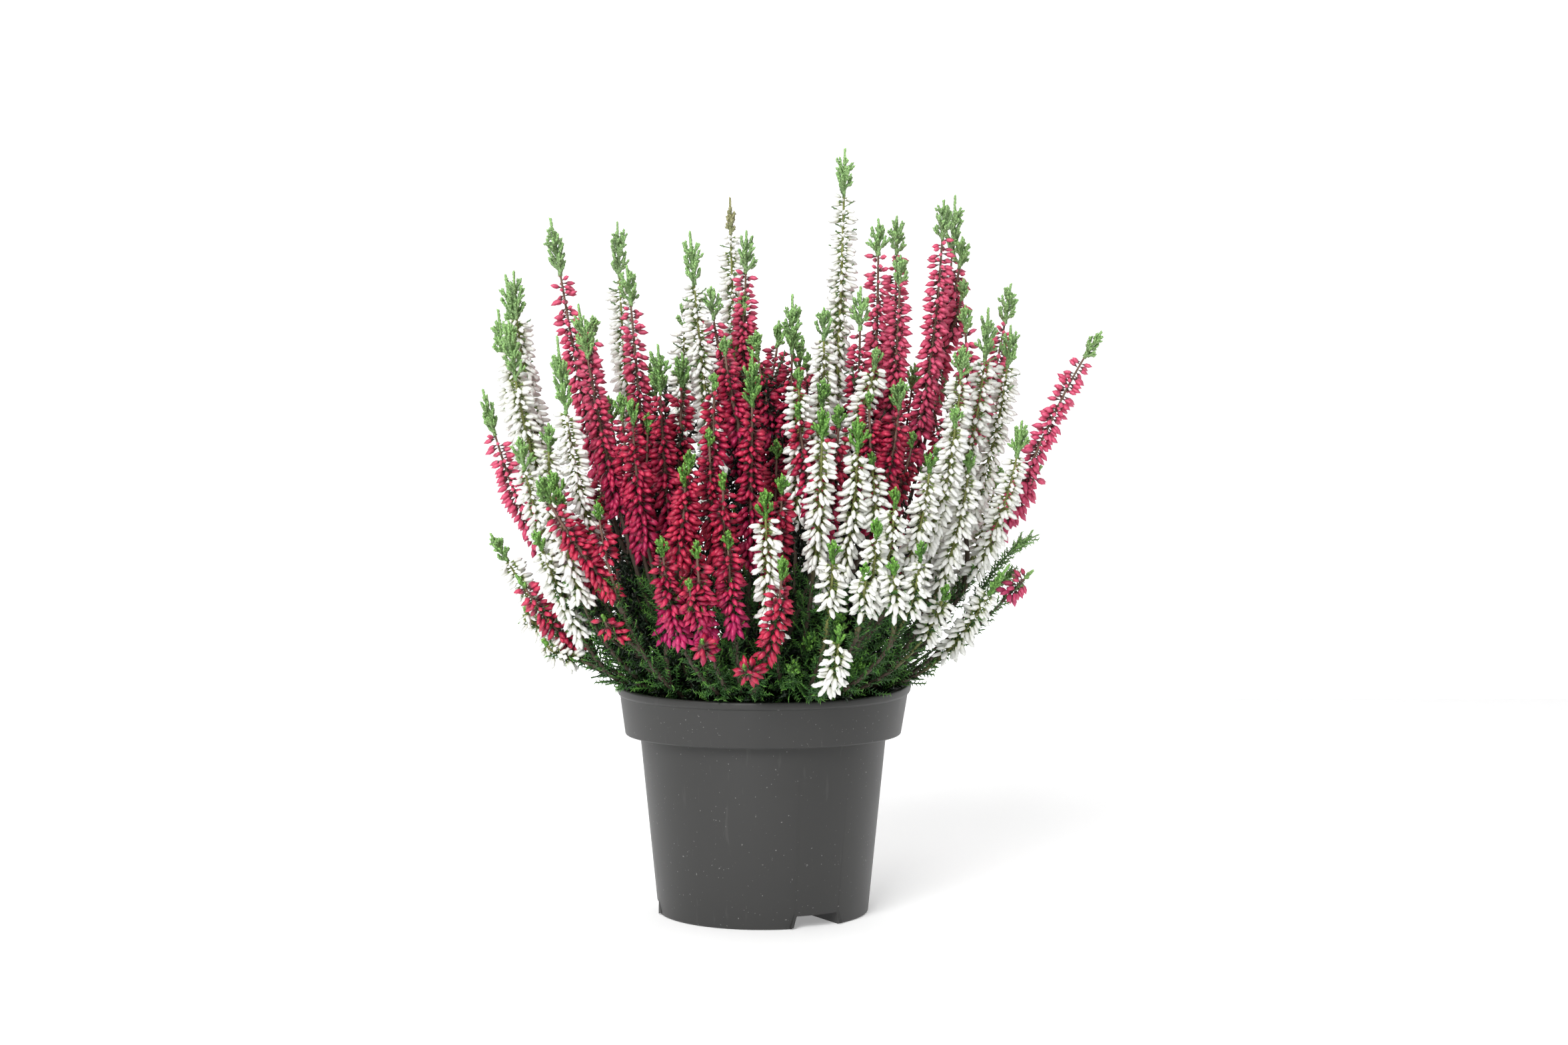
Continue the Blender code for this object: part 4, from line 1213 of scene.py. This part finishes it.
def side_direction(tangent, angle, rise):
    """The direction that leaves a stem at an angle round it, rise away from the way it runs."""
    side = unit(np.cross(tangent, ACROSS))
    other = np.cross(tangent, side)
    out = math.cos(angle) * side + math.sin(angle) * other
    return math.cos(rise) * tangent + math.sin(rise) * out


def twig_points(start, direction, tangent, length, bend):
    """A short twig that bends towards the way its stem runs."""
    steps = np.array((0.0, 0.5, 1.0))[:, None]
    return start + length * (steps * direction + bend * steps ** 2 * (tangent - direction))


def stem_at(path, station):
    """The point at a distance along a stem, and the way the stem runs there."""
    stations = (station, max(station - 1.5, 0.0), min(station + 1.5, path_length(path)))
    point, behind, ahead = resample(path, stations)
    return point, unit(ahead - behind)


def add_tip(wires, path, colour, young, rng, width):
    """A leafy tip: a leader whose young end stands free, and forked shoots turned up round it."""
    length = path_length(path)
    share = np.linspace(0.0, 1.0, len(path))
    fresh = share[:, None] ** 2
    wires.add(path, share=share, size=1.3, spread=TIP_SPREAD, thick=0.5 * METRE,
              colour=colour * 0.85 * (1.0 - fresh) + young * fresh)
    bare = 0.6 if length > 13.0 else 0.74
    station = 0.05 * length
    angle = rng.uniform(0.0, WHOLE_TURN)
    while station < bare * length:
        start, tangent = stem_at(path, station)
        reach = width * min(TIP_REACH * rng.uniform(0.8, 1.1), 0.55 * length,
                            0.8 * (length - station))
        rise = math.radians(50.0 - 18.0 * station / length + rng.uniform(-7.0, 7.0))
        way = side_direction(tangent, angle, rise)
        shoot = twig_points(start, way, tangent, reach, TIP_BEND)
        tone = colour * rng.uniform(0.7, 1.1)
        tone = np.stack((tone * 0.75, tone, tone * 0.42 + young * 0.58))
        wires.add(shoot, share=0.2, size=(0.85, 1.05, 1.0), spread=TIP_SPREAD, thick=0.45 * METRE,
                  colour=tone)
        for part in FORKS_AT:
            fork = resample(shoot, [part * path_length(shoot)])[0]
            aside = side_direction(way, rng.uniform(0.0, WHOLE_TURN), FORK_RISE)
            wires.add(twig_points(fork, aside, tangent, FORK_LENGTH * reach, FORK_BEND), share=0.2,
                      size=1.0, spread=TIP_SPREAD, thick=0.38 * METRE, colour=tone)
        angle += GOLDEN_ANGLE
        station += TIP_STEP


def add_green_stalks(wires, path, rng):
    """Short stalks with a few dark leaves at their ends, between a spike's buds."""
    share = np.linspace(0.0, 1.0, 4)
    station = 0.0
    angle = rng.uniform(0.0, WHOLE_TURN)
    while station < path_length(path):
        start, tangent = stem_at(path, station)
        way = side_direction(tangent, angle, rng.uniform(*STALK_RISES))
        points = start + rng.uniform(*STALK_LENGTHS) * share[:, None] * way
        wires.add(points, share=share, size=(0.3, 0.35, 0.8, 0.9), spread=0.6, thick=0.2 * METRE,
                  colour=DEEP_GREEN * 0.9 + MID_GREEN * rng.uniform(0.1, 0.4))
        angle += GOLDEN_ANGLE
        station += STALK_STEP


def add_spray(wires, path, colour, rng, step, reach, fresh):
    """Side twigs with comb-like leaves along a stem, shorter far out and lighter there as painted
    light.
    """
    length = path_length(path)
    station = rng.uniform(0.0, step)
    angle = rng.uniform(0.0, WHOLE_TURN)
    while station < length:
        start, tangent = stem_at(path, station)
        rise = math.radians(rng.uniform(*TWIG_RISES))
        out = math.hypot(start[0], start[1])
        shorter = max(SHORTEST, 1.0 - (out - SHORTER_FROM) / SHORTER_OVER)
        span = reach * rng.uniform(0.6, 1.15) * min(1.0, shorter)
        way = side_direction(tangent, angle, rise)
        points = twig_points(start, way, tangent, span, TWIG_BEND)
        rim = POT_HEIGHT + TWIG_RIM_GAP + rim_bend(points[:, 0], points[:, 1])[0]
        over_rim = np.hypot(points[:, 0], points[:, 1]) > CRUMB_RADIUS
        floor = np.where(over_rim, rim, SOIL_TOP + TWIG_SOIL_GAP)
        points[:, 2] = np.maximum(points[:, 2], floor)
        # Painted light: twigs far from the pot's axis are lighter, on top of their random tone
        lit = rng.uniform(0.6, 1.4) * (0.5 + 0.9 * clamp((out - TWIG_PAINTED_LIGHT_FROM) / TWIG_PAINTED_LIGHT_OVER))
        tone = colour * lit
        tone = np.stack((tone * 0.7, tone, tone * (1.0 - fresh) + YOUNG_GREEN * lit * fresh))
        wires.add(points, share=(0.0, 0.5, 1.0), size=1.0, spread=1.0, thick=TWIG, colour=tone,
                  roll=rng.uniform(0.0, 3.14))
        angle += GOLDEN_ANGLE
        station += step * rng.uniform(0.7, 1.3)


def add_stem(wires, path, shoot, foot, top):
    """A shoot's stem: bark up to its buds or leaves, then turning to its young colour."""
    stations = np.linspace(0.0, min(top + 1.5, path_length(path)), len(path))
    taper = np.linspace(0.0, 1.0, len(path))
    young = {"red": RED_STEM, "white": WHITE_STEM, "leaf": MID_GREEN}[shoot["colour"]]
    share = np.clip((stations - foot + BARK_BELOW) / BARK_END, 0.0, 1.0)[:, None]
    wires["wood"].add(resample(path, stations), thick=(STEM_FOOT - STEM_TAPER * taper) * METRE,
                      colour=BARK * 0.8 * (1.0 - share) + young * share)


def add_sprig(wires, path, top, rng):
    """The leaves of a shoot without buds: comb-like twigs along its end and a young tip."""
    length = path_length(path)
    leafy = stretch(path, max(top, 2.0), length, 10)
    far = path[-1][0] > FAR_RIGHT
    add_spray(wires["foliage"], leafy, DEEP_GREEN * 0.4 + MID_GREEN * 0.6, rng,
              0.6 if far else 1.5, 10.0, 0.5)
    wires["foliage"].add(leafy, share=np.linspace(0.0, 1.0, 10), size=1.0, spread=0.9, thick=TWIG,
                         colour=MID_GREEN * 0.8, roll=0.0)
    add_tip(wires["tips"], stretch(path, length - 8.0, length, 5),
            MID_GREEN * 0.4 + YOUNG_GREEN * 0.6, YOUNG_GREEN * 1.3, rng, 0.7 if far else 1.0)


def add_spike_leaves(wires, path, shoot, foot, top, rng, dry):
    """The leaves of a spike: its tip, those between its buds, and its low and inner foliage."""
    white = shoot["colour"] == "white"
    tip = stretch(path, top, path_length(path), 7)
    _, depth, height = tip[-1]
    width = 1.0
    if unit(tip[-1] - tip[0])[2] < UPRIGHT:
        width = 0.8 if height > LOW_TOP + 10.0 else 0.5
    if dry:
        add_tip(wires["tips"], tip, DRY_BROWN, DRY_BROWN * 1.2, rng, 0.5)
    else:
        # Painted light: the higher a tip stands, the paler it is
        pale = TIP_MOST_PAINTED_LIGHT * clamp((height - TIP_PAINTED_LIGHT_FROM) / TIP_PAINTED_LIGHT_OVER)
        green = YOUNG_GREEN * rng.uniform(0.5, 0.9) + MID_GREEN * rng.uniform(0.2, 0.5)
        add_tip(wires["tips"], tip, green * (1.0 - 3.0 * pale) + pale,
                YOUNG_GREEN * 1.3 + 0.02 + pale, rng, width)
    if white and height > STALKS_ABOVE and depth > STALKS_BEHIND:
        add_green_stalks(wires["tips"], stretch(path, top - 0.8 * shoot["buds"], top, 14), rng)
    wires["foliage"].add(stretch(path, foot, top, 12), share=np.linspace(0.0, 1.0, 12), size=0.85,
                         spread=0.7, thick=TWIG, colour=WHITE_STEM if white else RED_STEM, roll=0.0)
    leafy = stretch(path, 2.0, top - 0.3 * shoot["buds"], 28)
    below = leafy[leafy[:, 2] < LOW_TOP]
    if len(below) > 2:
        wires["foliage"].add(below, share=np.linspace(0.0, 0.6, len(below)), size=1.6, spread=0.9,
                             thick=TWIG, colour=DEEP_GREEN * 0.8 + MID_GREEN * 0.3,
                             roll=np.linspace(0.0, 40.0, len(below)))
        add_spray(wires["foliage"], below, DEEP_GREEN * 0.6 + MID_GREEN * 0.5, rng, 1.8, 13.0, 0.45)
    highest = min(resample(path, [foot])[0][2], INNER_TOP) if white else INNER_TOP
    inside = leafy[(leafy[:, 2] < highest) & (np.hypot(leafy[:, 0], leafy[:, 1]) < INNER_RADIUS)]
    if len(inside) > 2:
        # Painted shade: twigs inside the plants get a very dark green
        add_spray(wires["inner_twigs"], inside, DEEP_GREEN * 0.3, rng, 2.9, 16.0, 0.0)


def add_inner_shoot(wires, start, tip, rng):
    """A thin shoot with very dark green twigs, painted shade, that closes the view through the
    plants' middle.
    """
    pull = np.linalg.norm(tip - start)
    out = unit((tip - start) * (1.0, 1.0, 0.0))
    path = curved_path(start, tip, pull * (0.8 * out + (0.0, 0.0, 0.6)),
                       pull * np.array((0.0, 0.0, 0.8)), 14)
    wires["wood"].add(path, thick=0.45 * METRE, colour=BARK)
    # Painted shade: these twigs get a very dark green
    add_spray(wires["inner_twigs"], path[4:], DEEP_GREEN * 0.35, rng, 2.4, 15.0, 0.0)


def grow_plant(plant, shoots, trees, models, finishes):
    """One plant's stems, leafy tips, low foliage and inner twigs."""
    wires = {kind: Wires() for kind in ("wood", *LEAF_PIECES)}
    rng = np.random.default_rng(sorted(PLANTS).index(plant) + FIRST_SEED)
    _, x, y = PLANTS[plant]
    trunk = np.array([(x, y, z) for z in (SOIL_TOP - 4.0, SOIL_TOP, SOIL_TOP + TRUNK_STANDS)])
    wires["wood"].add(trunk, thick=TRUNK_RADII * METRE, colour=BARK)
    for number, shoot in enumerate(shoots):
        if shoot["plant"] != plant:
            continue
        path = smoothed(shoot["path"], WOOD_STEP)
        top = path_length(path) - shoot["leaf"]
        foot = max(top - shoot["buds"], 2.0)
        add_stem(wires, path, shoot, foot, top)
        if shoot["buds"]:
            add_spike_leaves(wires, path, shoot, foot, top, rng, number == DRY_SPIKE)
        else:
            add_sprig(wires, path, top, rng)
    for place in INNER_SHOOTS:
        tip = real_place(*place)
        if nearest_plant("leaf", tip) == plant:
            add_inner_shoot(wires, trunk[-1], tip, rng)
    pieces = [trees["stems"].grow(wires["wood"].object(f"{plant}_wood"),
                                  Material=finishes["stems"])]
    for kind, (leaf, pitch, turn, seed) in LEAF_PIECES.items():
        pieces.append(trees["leaves"].grow(wires[kind].object(f"{plant}_{kind}"), Leaf=models[leaf],
                                           Pitch=pitch * METRE, Turn=turn, Seed=seed,
                                           Material=finishes["leaves"]))
    for piece in pieces:
        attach(piece, "root")
        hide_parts(f"{plant}_stems")


def bud_tone(shoot):
    """How far a spike's buds are from their usual colour, from its foot to its top."""
    side, _, top = shoot["path"][-1]
    fade = np.linspace(1.0, 0.0, BUD_SPOTS)
    if shoot["colour"] == "red":
        if top - shoot["leaf"] - shoot["buds"] < ODD_FOOT and ODD_FROM < side < ODD_TO:
            return (0.8 * fade) ** 2
        if side > ODD_RIGHT:
            return 0.8 * fade
        if top > ODD_TALL:
            return 0.25 * fade ** 2
    return 0.0 * fade


def lowest_bud(colour, tip):
    """The height under which a spike carries no buds, by where its tip is."""
    for kind, left, right, low, high, height in BARE_FEET:
        if colour == kind and left < tip[0] < right and low < tip[2] < high:
            return height
    if tip[2] < LOW_SPIKE:
        return 0.0
    return LOWEST_BUDS[0 if tip[2] < MIDDLING_SPIKE or abs(tip[0]) > OUTER_SPIKE else 1]


def grow_buds(name, shoots, nodes, trees, models, finishes):
    """The buds of some spikes of one colour."""
    wires = Wires()
    colour = shoots[0]["colour"]
    for shoot in shoots:
        path = smoothed(shoot["path"], BUD_STEP)
        top = path_length(path) - shoot["leaf"]
        foot = max(top - shoot["buds"] + min(BUD_DROOP, 0.2 * shoot["buds"]), 2.0)
        budded = stretch(path, foot, top, BUD_SPOTS)
        high = budded[:, 2] > lowest_bud(colour, path[-1])
        last = 0.8 if colour == "white" and path[-1][2] < SPARSE_FROM else 1.0
        wires.add(budded[high], share=np.linspace(0.0, last, BUD_SPOTS)[high],
                  tone=bud_tone(shoot)[high])
    piece = trees["buds"].grow(wires.object(name), Bud=models[colour + "_bud"],
                               Pitch=BUD_PITCH * METRE, Top_angle=BUD_TOP_ANGLE,
                               Foot_angle=BUD_FOOT_ANGLE, Seed=5, Material=finishes[colour])
    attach(piece, "root")
    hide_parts(*nodes)


# ---- the pot and the peat

# The pot, as in the CAD: its rim, band and tapering body, and its floor's grooves and drain holes
POT_SIDES = 160
POT_WALL = 1.2
RIM_RADIUS = 55.0
BAND_BOTTOM = 68.2
BAND_FOOT_RADIUS = 52.7
BODY_TOP_RADIUS = 47.0
BODY_FOOT_RADIUS = 40.2
GROOVE_ANGLES = (-60.0, 60.0, 180.0)
GROOVE_HALF_WIDTH = 10.0
GROOVE_SLANT = 1.5
GROOVE_HEIGHT = 4.8
GROOVE_START = 16.0
DRAIN_AT = 28.0
DRAIN_RADIUS = 3.7

# The peat: how far out its top and its crumbs reach, crumbs per square metre, and its lumps, each
# with a height and a width
PEAT_RADIUS = 51.8
CRUMB_RADIUS = 49.0
CRUMB_DENSITY = 90000.0
PEAT_LUMPS = ((1.3, 14.0), (0.9, 4.5), (0.5, 1.6))

# The height from which the rim is bent, and how many degrees round the pot a bend spreads
RIM_BENDS_FROM = 74.0
RIM_BEND_WIDTH = 40.0

# The soft rim's bends: where round the pot in degrees, how far up, how far out
RIM_BENDS = (
    (10.0, 3.0, 2.1),
    (180.0, 1.5, 0.7),
)


def groove_bar(angle, grow, low, outer):
    """The wedge-sided bar that presses a groove, or its raised back, into the pot's floor."""
    slope = GROOVE_SLANT / GROOVE_HEIGHT
    half = GROOVE_HALF_WIDTH + grow * math.hypot(1.0, slope)
    top = GROOVE_HEIGHT + grow
    section = ((-half + slope * low, low), (half - slope * low, low),
               (half - slope * top, top), (-half + slope * top, top))
    cos, sin = math.cos(math.radians(angle)), math.sin(math.radians(angle))
    points = [(out * cos - across * sin, out * sin + across * cos, height)
              for out in (GROOVE_START - grow, outer) for across, height in section]
    faces = [(3, 2, 1, 0), (4, 5, 6, 7)]
    faces += [(k, (k + 1) % 4, 4 + (k + 1) % 4, 4 + k) for k in range(4)]
    return linked_object("groove_bar", new_mesh("groove_bar", points, [], faces))


def cut(target, operation, tools):
    """Apply one Boolean with several tools, then remove them."""
    group = bpy.data.collections.new("tools")
    for tool in tools:
        group.objects.link(tool)
    modifier = target.modifiers.new("cut", "BOOLEAN")
    modifier.operation = operation
    modifier.solver = "EXACT"
    modifier.operand_type = "COLLECTION"
    modifier.collection = group
    apply_modifiers(target)
    for tool in tools:
        bpy.data.objects.remove(tool)
    bpy.data.collections.remove(group)


def arc(centre_r, centre_z, radius, start, end, count):
    """Profile points on an arc, between two angles in degrees."""
    points = []
    for angle in np.linspace(math.radians(start), math.radians(end), count):
        points.append((centre_r + radius * math.cos(angle), centre_z + radius * math.sin(angle)))
    return points


def rim_bend(x, y):
    """How far the soft rim is bent up, and how far out, at a place round the pot."""
    up = 0.0
    out = 0.0
    for turn, rise, spread in RIM_BENDS:
        aside = (np.degrees(np.arctan2(y, x)) - turn + 180.0) % 360.0 - 180.0
        give = np.exp(-(aside / RIM_BEND_WIDTH) ** 2)
        up = up + rise * give
        out = out + spread * give
    return up, out


def bend_rim(pot):
    """The soft rim stands up and out a little at both sides, as it does in the photograph."""
    for vertex in pot.data.vertices:
        x, y, z = vertex.co / METRE
        high = clamp((z - RIM_BENDS_FROM) / (POT_HEIGHT - RIM_BENDS_FROM)) ** 2
        up, out = rim_bend(x, y)
        vertex.co.x += METRE * out * high * x / RIM_RADIUS
        vertex.co.y += METRE * out * high * y / RIM_RADIUS
        vertex.co.z += METRE * up * high


def dress(thing, finish):
    """Give an object one material."""
    thing.data.materials.clear()
    thing.data.materials.append(finish)


def pot_profile():
    """The pot's half section, from the middle of its underside round the rim to its inner floor."""
    ledge_top = BAND_BOTTOM + POT_WALL
    inside_rim = RIM_RADIUS - 0.5 - POT_WALL
    return [
        (0.0, 0.0), (BODY_FOOT_RADIUS - 1.0, 0.0),
        *arc(BODY_FOOT_RADIUS - 0.9, 0.9, 0.9, -80.0, 0.0, 5),
        (BODY_TOP_RADIUS - 0.1, BAND_BOTTOM - 1.2),
        *arc(BODY_TOP_RADIUS + 0.7, BAND_BOTTOM - 1.0, 0.8, 170.0, 100.0, 4),
        *arc(BAND_FOOT_RADIUS - 0.7, BAND_BOTTOM + 0.5, 0.7, -85.0, 0.0, 5),
        (RIM_RADIUS - 0.75, POT_HEIGHT - 3.0),
        *arc(RIM_RADIUS - 0.8, POT_HEIGHT - 2.0, 0.8, -60.0, 0.0, 4),
        *arc(RIM_RADIUS - 0.7, POT_HEIGHT - 0.7, 0.7, 5.0, 90.0, 6),
        *arc(inside_rim + 0.3, POT_HEIGHT - 0.3, 0.3, 90.0, 180.0, 4),
        (BAND_FOOT_RADIUS - POT_WALL, ledge_top + 0.4),
        (BODY_TOP_RADIUS - POT_WALL, ledge_top - 0.8),
        (BODY_FOOT_RADIUS - POT_WALL, POT_WALL), (0.0, POT_WALL),
    ]


def make_pot(finish):
    """The pot with its rounded edges, ledge, band, rim bead, floor grooves and drain holes."""
    pot = turned_shape("heather_pot", pot_profile(), POT_SIDES)
    for operation, grow, low, outer in (("UNION", POT_WALL, 0.6, BODY_FOOT_RADIUS - 0.6),
                                        ("DIFFERENCE", 0.0, -2.0, BODY_FOOT_RADIUS + 8.0)):
        cut(pot, operation, [groove_bar(angle, grow, low, outer) for angle in GROOVE_ANGLES])
    drains = []
    for angle in GROOVE_ANGLES:
        drain = turned_shape("drain", ((0.0, 1.0), (DRAIN_RADIUS, 1.0), (DRAIN_RADIUS, 12.0),
                                       (0.0, 12.0)), 32)
        for vertex in drain.data.vertices:
            vertex.co.x += DRAIN_AT * METRE * math.cos(math.radians(angle))
            vertex.co.y += DRAIN_AT * METRE * math.sin(math.radians(angle))
        drains.append(drain)
    cut(pot, "DIFFERENCE", drains)
    bend_rim(pot)
    pot.data.shade_smooth()
    pot.data.set_sharp_from_angle(angle=math.radians(38.0))
    dress(pot, finish)
    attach(pot, "root")
    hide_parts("pot")


def make_peat(finish, tree, crumb):
    """The peat's uneven top and loose crumbs on it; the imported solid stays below."""
    profile = [(0.0, SOIL_TOP - 1.8), (PEAT_RADIUS, SOIL_TOP - 1.8)]
    profile += [(radius, SOIL_TOP + 0.4) for radius in np.linspace(PEAT_RADIUS, 0.0, 46)]
    peat = turned_shape("peat_top", profile, 150)
    for vertex in peat.data.vertices:
        if vertex.co.z > SOIL_TOP * METRE:
            out = math.hypot(vertex.co.x, vertex.co.y) / METRE
            place = Vector((vertex.co.x, vertex.co.y, 0.0)) / METRE
            rough = sum(height * noise.noise(place / width) for height, width in PEAT_LUMPS)
            dip = 1.4 * max(0.0, (out - 44.0) / 8.0)
            vertex.co.z += METRE * (rough + 0.9 - dip)
    scatter = linked_object("peat_crumbs", peat.data.copy())
    top = bmesh.new()
    top.from_mesh(scatter.data)
    spare = [face for face in top.faces if face.normal.z < 0.3
             or face.calc_center_median().xy.length > CRUMB_RADIUS * METRE]
    bmesh.ops.delete(top, geom=spare, context="FACES")
    top.to_mesh(scatter.data)
    top.free()
    for piece in (peat, scatter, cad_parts["soil"]):
        dress(piece, finish)
    tree.grow(scatter, Crumb=crumb, Density=CRUMB_DENSITY, Seed=4, Material=finish)
    for piece in (peat, scatter):
        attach(piece, "root")


# ---- floor, light and camera

# The stage, in metres: radius of the bend between floor and wall, height of the wall, the floor's
# half width, where it starts to be backdrop and where it bends, where the ground round it starts
# and bends, and the ground's height and sides
WALL_BEND = 1.2
WALL_TOP = 6.0
FLOOR_HALF = 6.0
BACKDROP_FROM = 1.2
FLOOR_END = 2.2
GROUND_START = 1.0
GROUND_END = 3.0
GROUND_LIFT = 0.0005
GROUND_SIDES = 96

# Area lights, in metres: name, place, what they point at, width and height, power
LIGHTS = (
    ("overhead", (0.0, -0.2, 1.7), (0.0, 0.0, 0.1), (1.4, 1.4), 11.0),
    ("front", (-0.6, -1.6, 1.1), (0.0, 0.0, 0.15), (1.0, 1.0), 38.0),
    ("left_strip", (-1.2, 0.1, 0.5), (0.0, 0.0, 0.1), (0.5, 1.4), 1.4),
    ("right_strip", (1.2, 0.1, 0.5), (0.0, 0.0, 0.1), (0.5, 1.4), 1.4),
)
WORLD_STRENGTH = 0.06

# The photograph's camera: place, degrees that it looks down and to the right, lens and sensor
CAMERA_PLACE = (3.2, -874.8, 169.4)
CAMERA_DOWN = 1.373
CAMERA_RIGHT = 0.311
CAMERA_LENS = 52.58
CAMERA_SENSOR = 36.0


def stage_finish(name, glow):
    """A matt pale material that shines a little by itself."""
    finish = Finish(name, 0.9)
    finish.shader.inputs["Base Color"].default_value = (0.9, 0.9, 0.9, 1.0)
    finish.shader.inputs["Emission Color"].default_value = (1.0, 1.0, 1.0, 1.0)
    finish.shader.inputs["Emission Strength"].default_value = glow
    return finish.material


def wall_line(end, lift):
    """The profile of a bend from flat ground up into a wall, and the wall."""
    line = [(end + WALL_BEND * math.sin(t), lift + WALL_BEND - WALL_BEND * math.cos(t))
            for t in np.linspace(0.1, math.pi / 2, 12)]
    return line + [(end + WALL_BEND, WALL_TOP)]


def smooth_piece(name, points, faces, *finishes):
    mesh = bpy.data.meshes.new(name)
    mesh.from_pydata(points, [], faces)
    mesh.shade_smooth()
    for finish in finishes:
        mesh.materials.append(finish)
    return linked_object(name, mesh)


def make_stage():
    """A plain pale floor that curves up into a pale backdrop."""
    line = [(-3.0, 0.0), (0.8, 0.0), (FLOOR_END, 0.0), *wall_line(FLOOR_END, 0.0)]
    points = [(side * FLOOR_HALF, y, z) for y, z in line for side in (-1.0, 1.0)]
    faces = [(2 * i, 2 * i + 1, 2 * i + 3, 2 * i + 2) for i in range(len(line) - 1)]
    floor = smooth_piece("floor", points, faces, stage_finish("pale_floor", 0.3),
                         stage_finish("pale_backdrop", 0.8))
    for face in floor.data.polygons:
        face.material_index = 1 if face.center.y > BACKDROP_FROM else 0


def make_surround():
    """A round white ground behind the floor, which the camera sees and the light doesn't."""
    line = [(GROUND_START, GROUND_LIFT), (GROUND_END, GROUND_LIFT),
            *wall_line(GROUND_END, GROUND_LIFT)]
    turns = [2 * math.pi * k / GROUND_SIDES for k in range(GROUND_SIDES)]
    points = [(r * math.cos(turn), r * math.sin(turn), z) for r, z in line for turn in turns]
    faces = []
    for low in range(0, GROUND_SIDES * (len(line) - 1), GROUND_SIDES):
        for k in range(GROUND_SIDES):
            n = (k + 1) % GROUND_SIDES
            faces.append((low + GROUND_SIDES + k, low + GROUND_SIDES + n, low + n, low + k))
    surround = smooth_piece("surround", points, faces, stage_finish("white_surround", 1.0))
    surround.visible_diffuse = False
    surround.visible_glossy = False
    surround.visible_transmission = False
    surround.visible_shadow = False


def light_scene():
    """Soft studio light: broad from above and in front, with tall strips at both sides."""
    world = bpy.data.worlds.new("studio")
    world.use_nodes = True
    ground = world.node_tree.nodes["Background"]
    ground.inputs["Color"].default_value = (1.0, 1.0, 1.0, 1.0)
    ground.inputs["Strength"].default_value = WORLD_STRENGTH
    bpy.context.scene.world = world
    for name, place, target, size, power in LIGHTS:
        light = bpy.data.lights.new(name, "AREA")
        light.shape = "RECTANGLE"
        light.size, light.size_y = size
        light.energy = power
        made = linked_object(name, light)
        made.location = place
        towards = Vector(target) - Vector(place)
        made.rotation_euler = towards.to_track_quat("-Z", "Y").to_euler()


def place_camera():
    """The photograph's view: almost level, a little to the right of the pot's axis."""
    camera = bpy.data.cameras.new("camera")
    camera.sensor_width = CAMERA_SENSOR
    camera.lens = CAMERA_LENS
    made = linked_object("camera", camera)
    made.location = [value * METRE for value in CAMERA_PLACE]
    made.rotation_euler = Euler((math.radians(90.0 - CAMERA_DOWN), 0.0,
                                 math.radians(-CAMERA_RIGHT)))
    bpy.context.scene.camera = made


# ---- putting it together

def main():
    shoots = list_shoots()
    links = pick_links(shoots)
    part_shoots(shoots, links)
    members = node_members(shoots, links)
    add_side_spikes(shoots)
    shoots[PINK_END]["buds"] = PINK_BUDS
    finishes = {
        "red": bud_finish("red_buds", CRIMSON, CORAL, SHADED_WINE, MAGENTA, RED_CALYX, PAINTED_LIGHT_ROSE),
        "white": bud_finish("white_buds", PURE_WHITE, PURE_WHITE, SHADED_CREAM, TAN, GREEN_CALYX),
        "leaves": leaf_finish(),
        "stems": stem_finish(),
        "peat": peat_finish(),
        "pot": pot_finish(),
    }
    models = {name: spindle(name, profile, sides, sag) for name, profile, sides, sag in MODELS}
    trees = {"buds": bud_growth(), "leaves": leaf_growth(), "stems": stem_growth()}
    for plant in PLANTS:
        grow_plant(plant, shoots, trees, models, finishes)
    for plant in PLANTS:
        nodes = [node for node, group in members.items() if shoots[group[0]]["plant"] == plant]
        mine = [shoots[i] for node in nodes for i in members[node]]
        mine += [shoot for shoot in shoots[-len(SIDE_SPIKES):] if shoot["plant"] == plant]
        grow_buds(f"{plant}_buds", mine, nodes, trees, models, finishes)
    make_pot(finishes["pot"])
    make_peat(finishes["peat"], crumb_growth(), peat_crumb())
    make_stage()
    make_surround()
    light_scene()
    place_camera()
    bpy.context.scene.view_settings.view_transform = "Standard"


main()
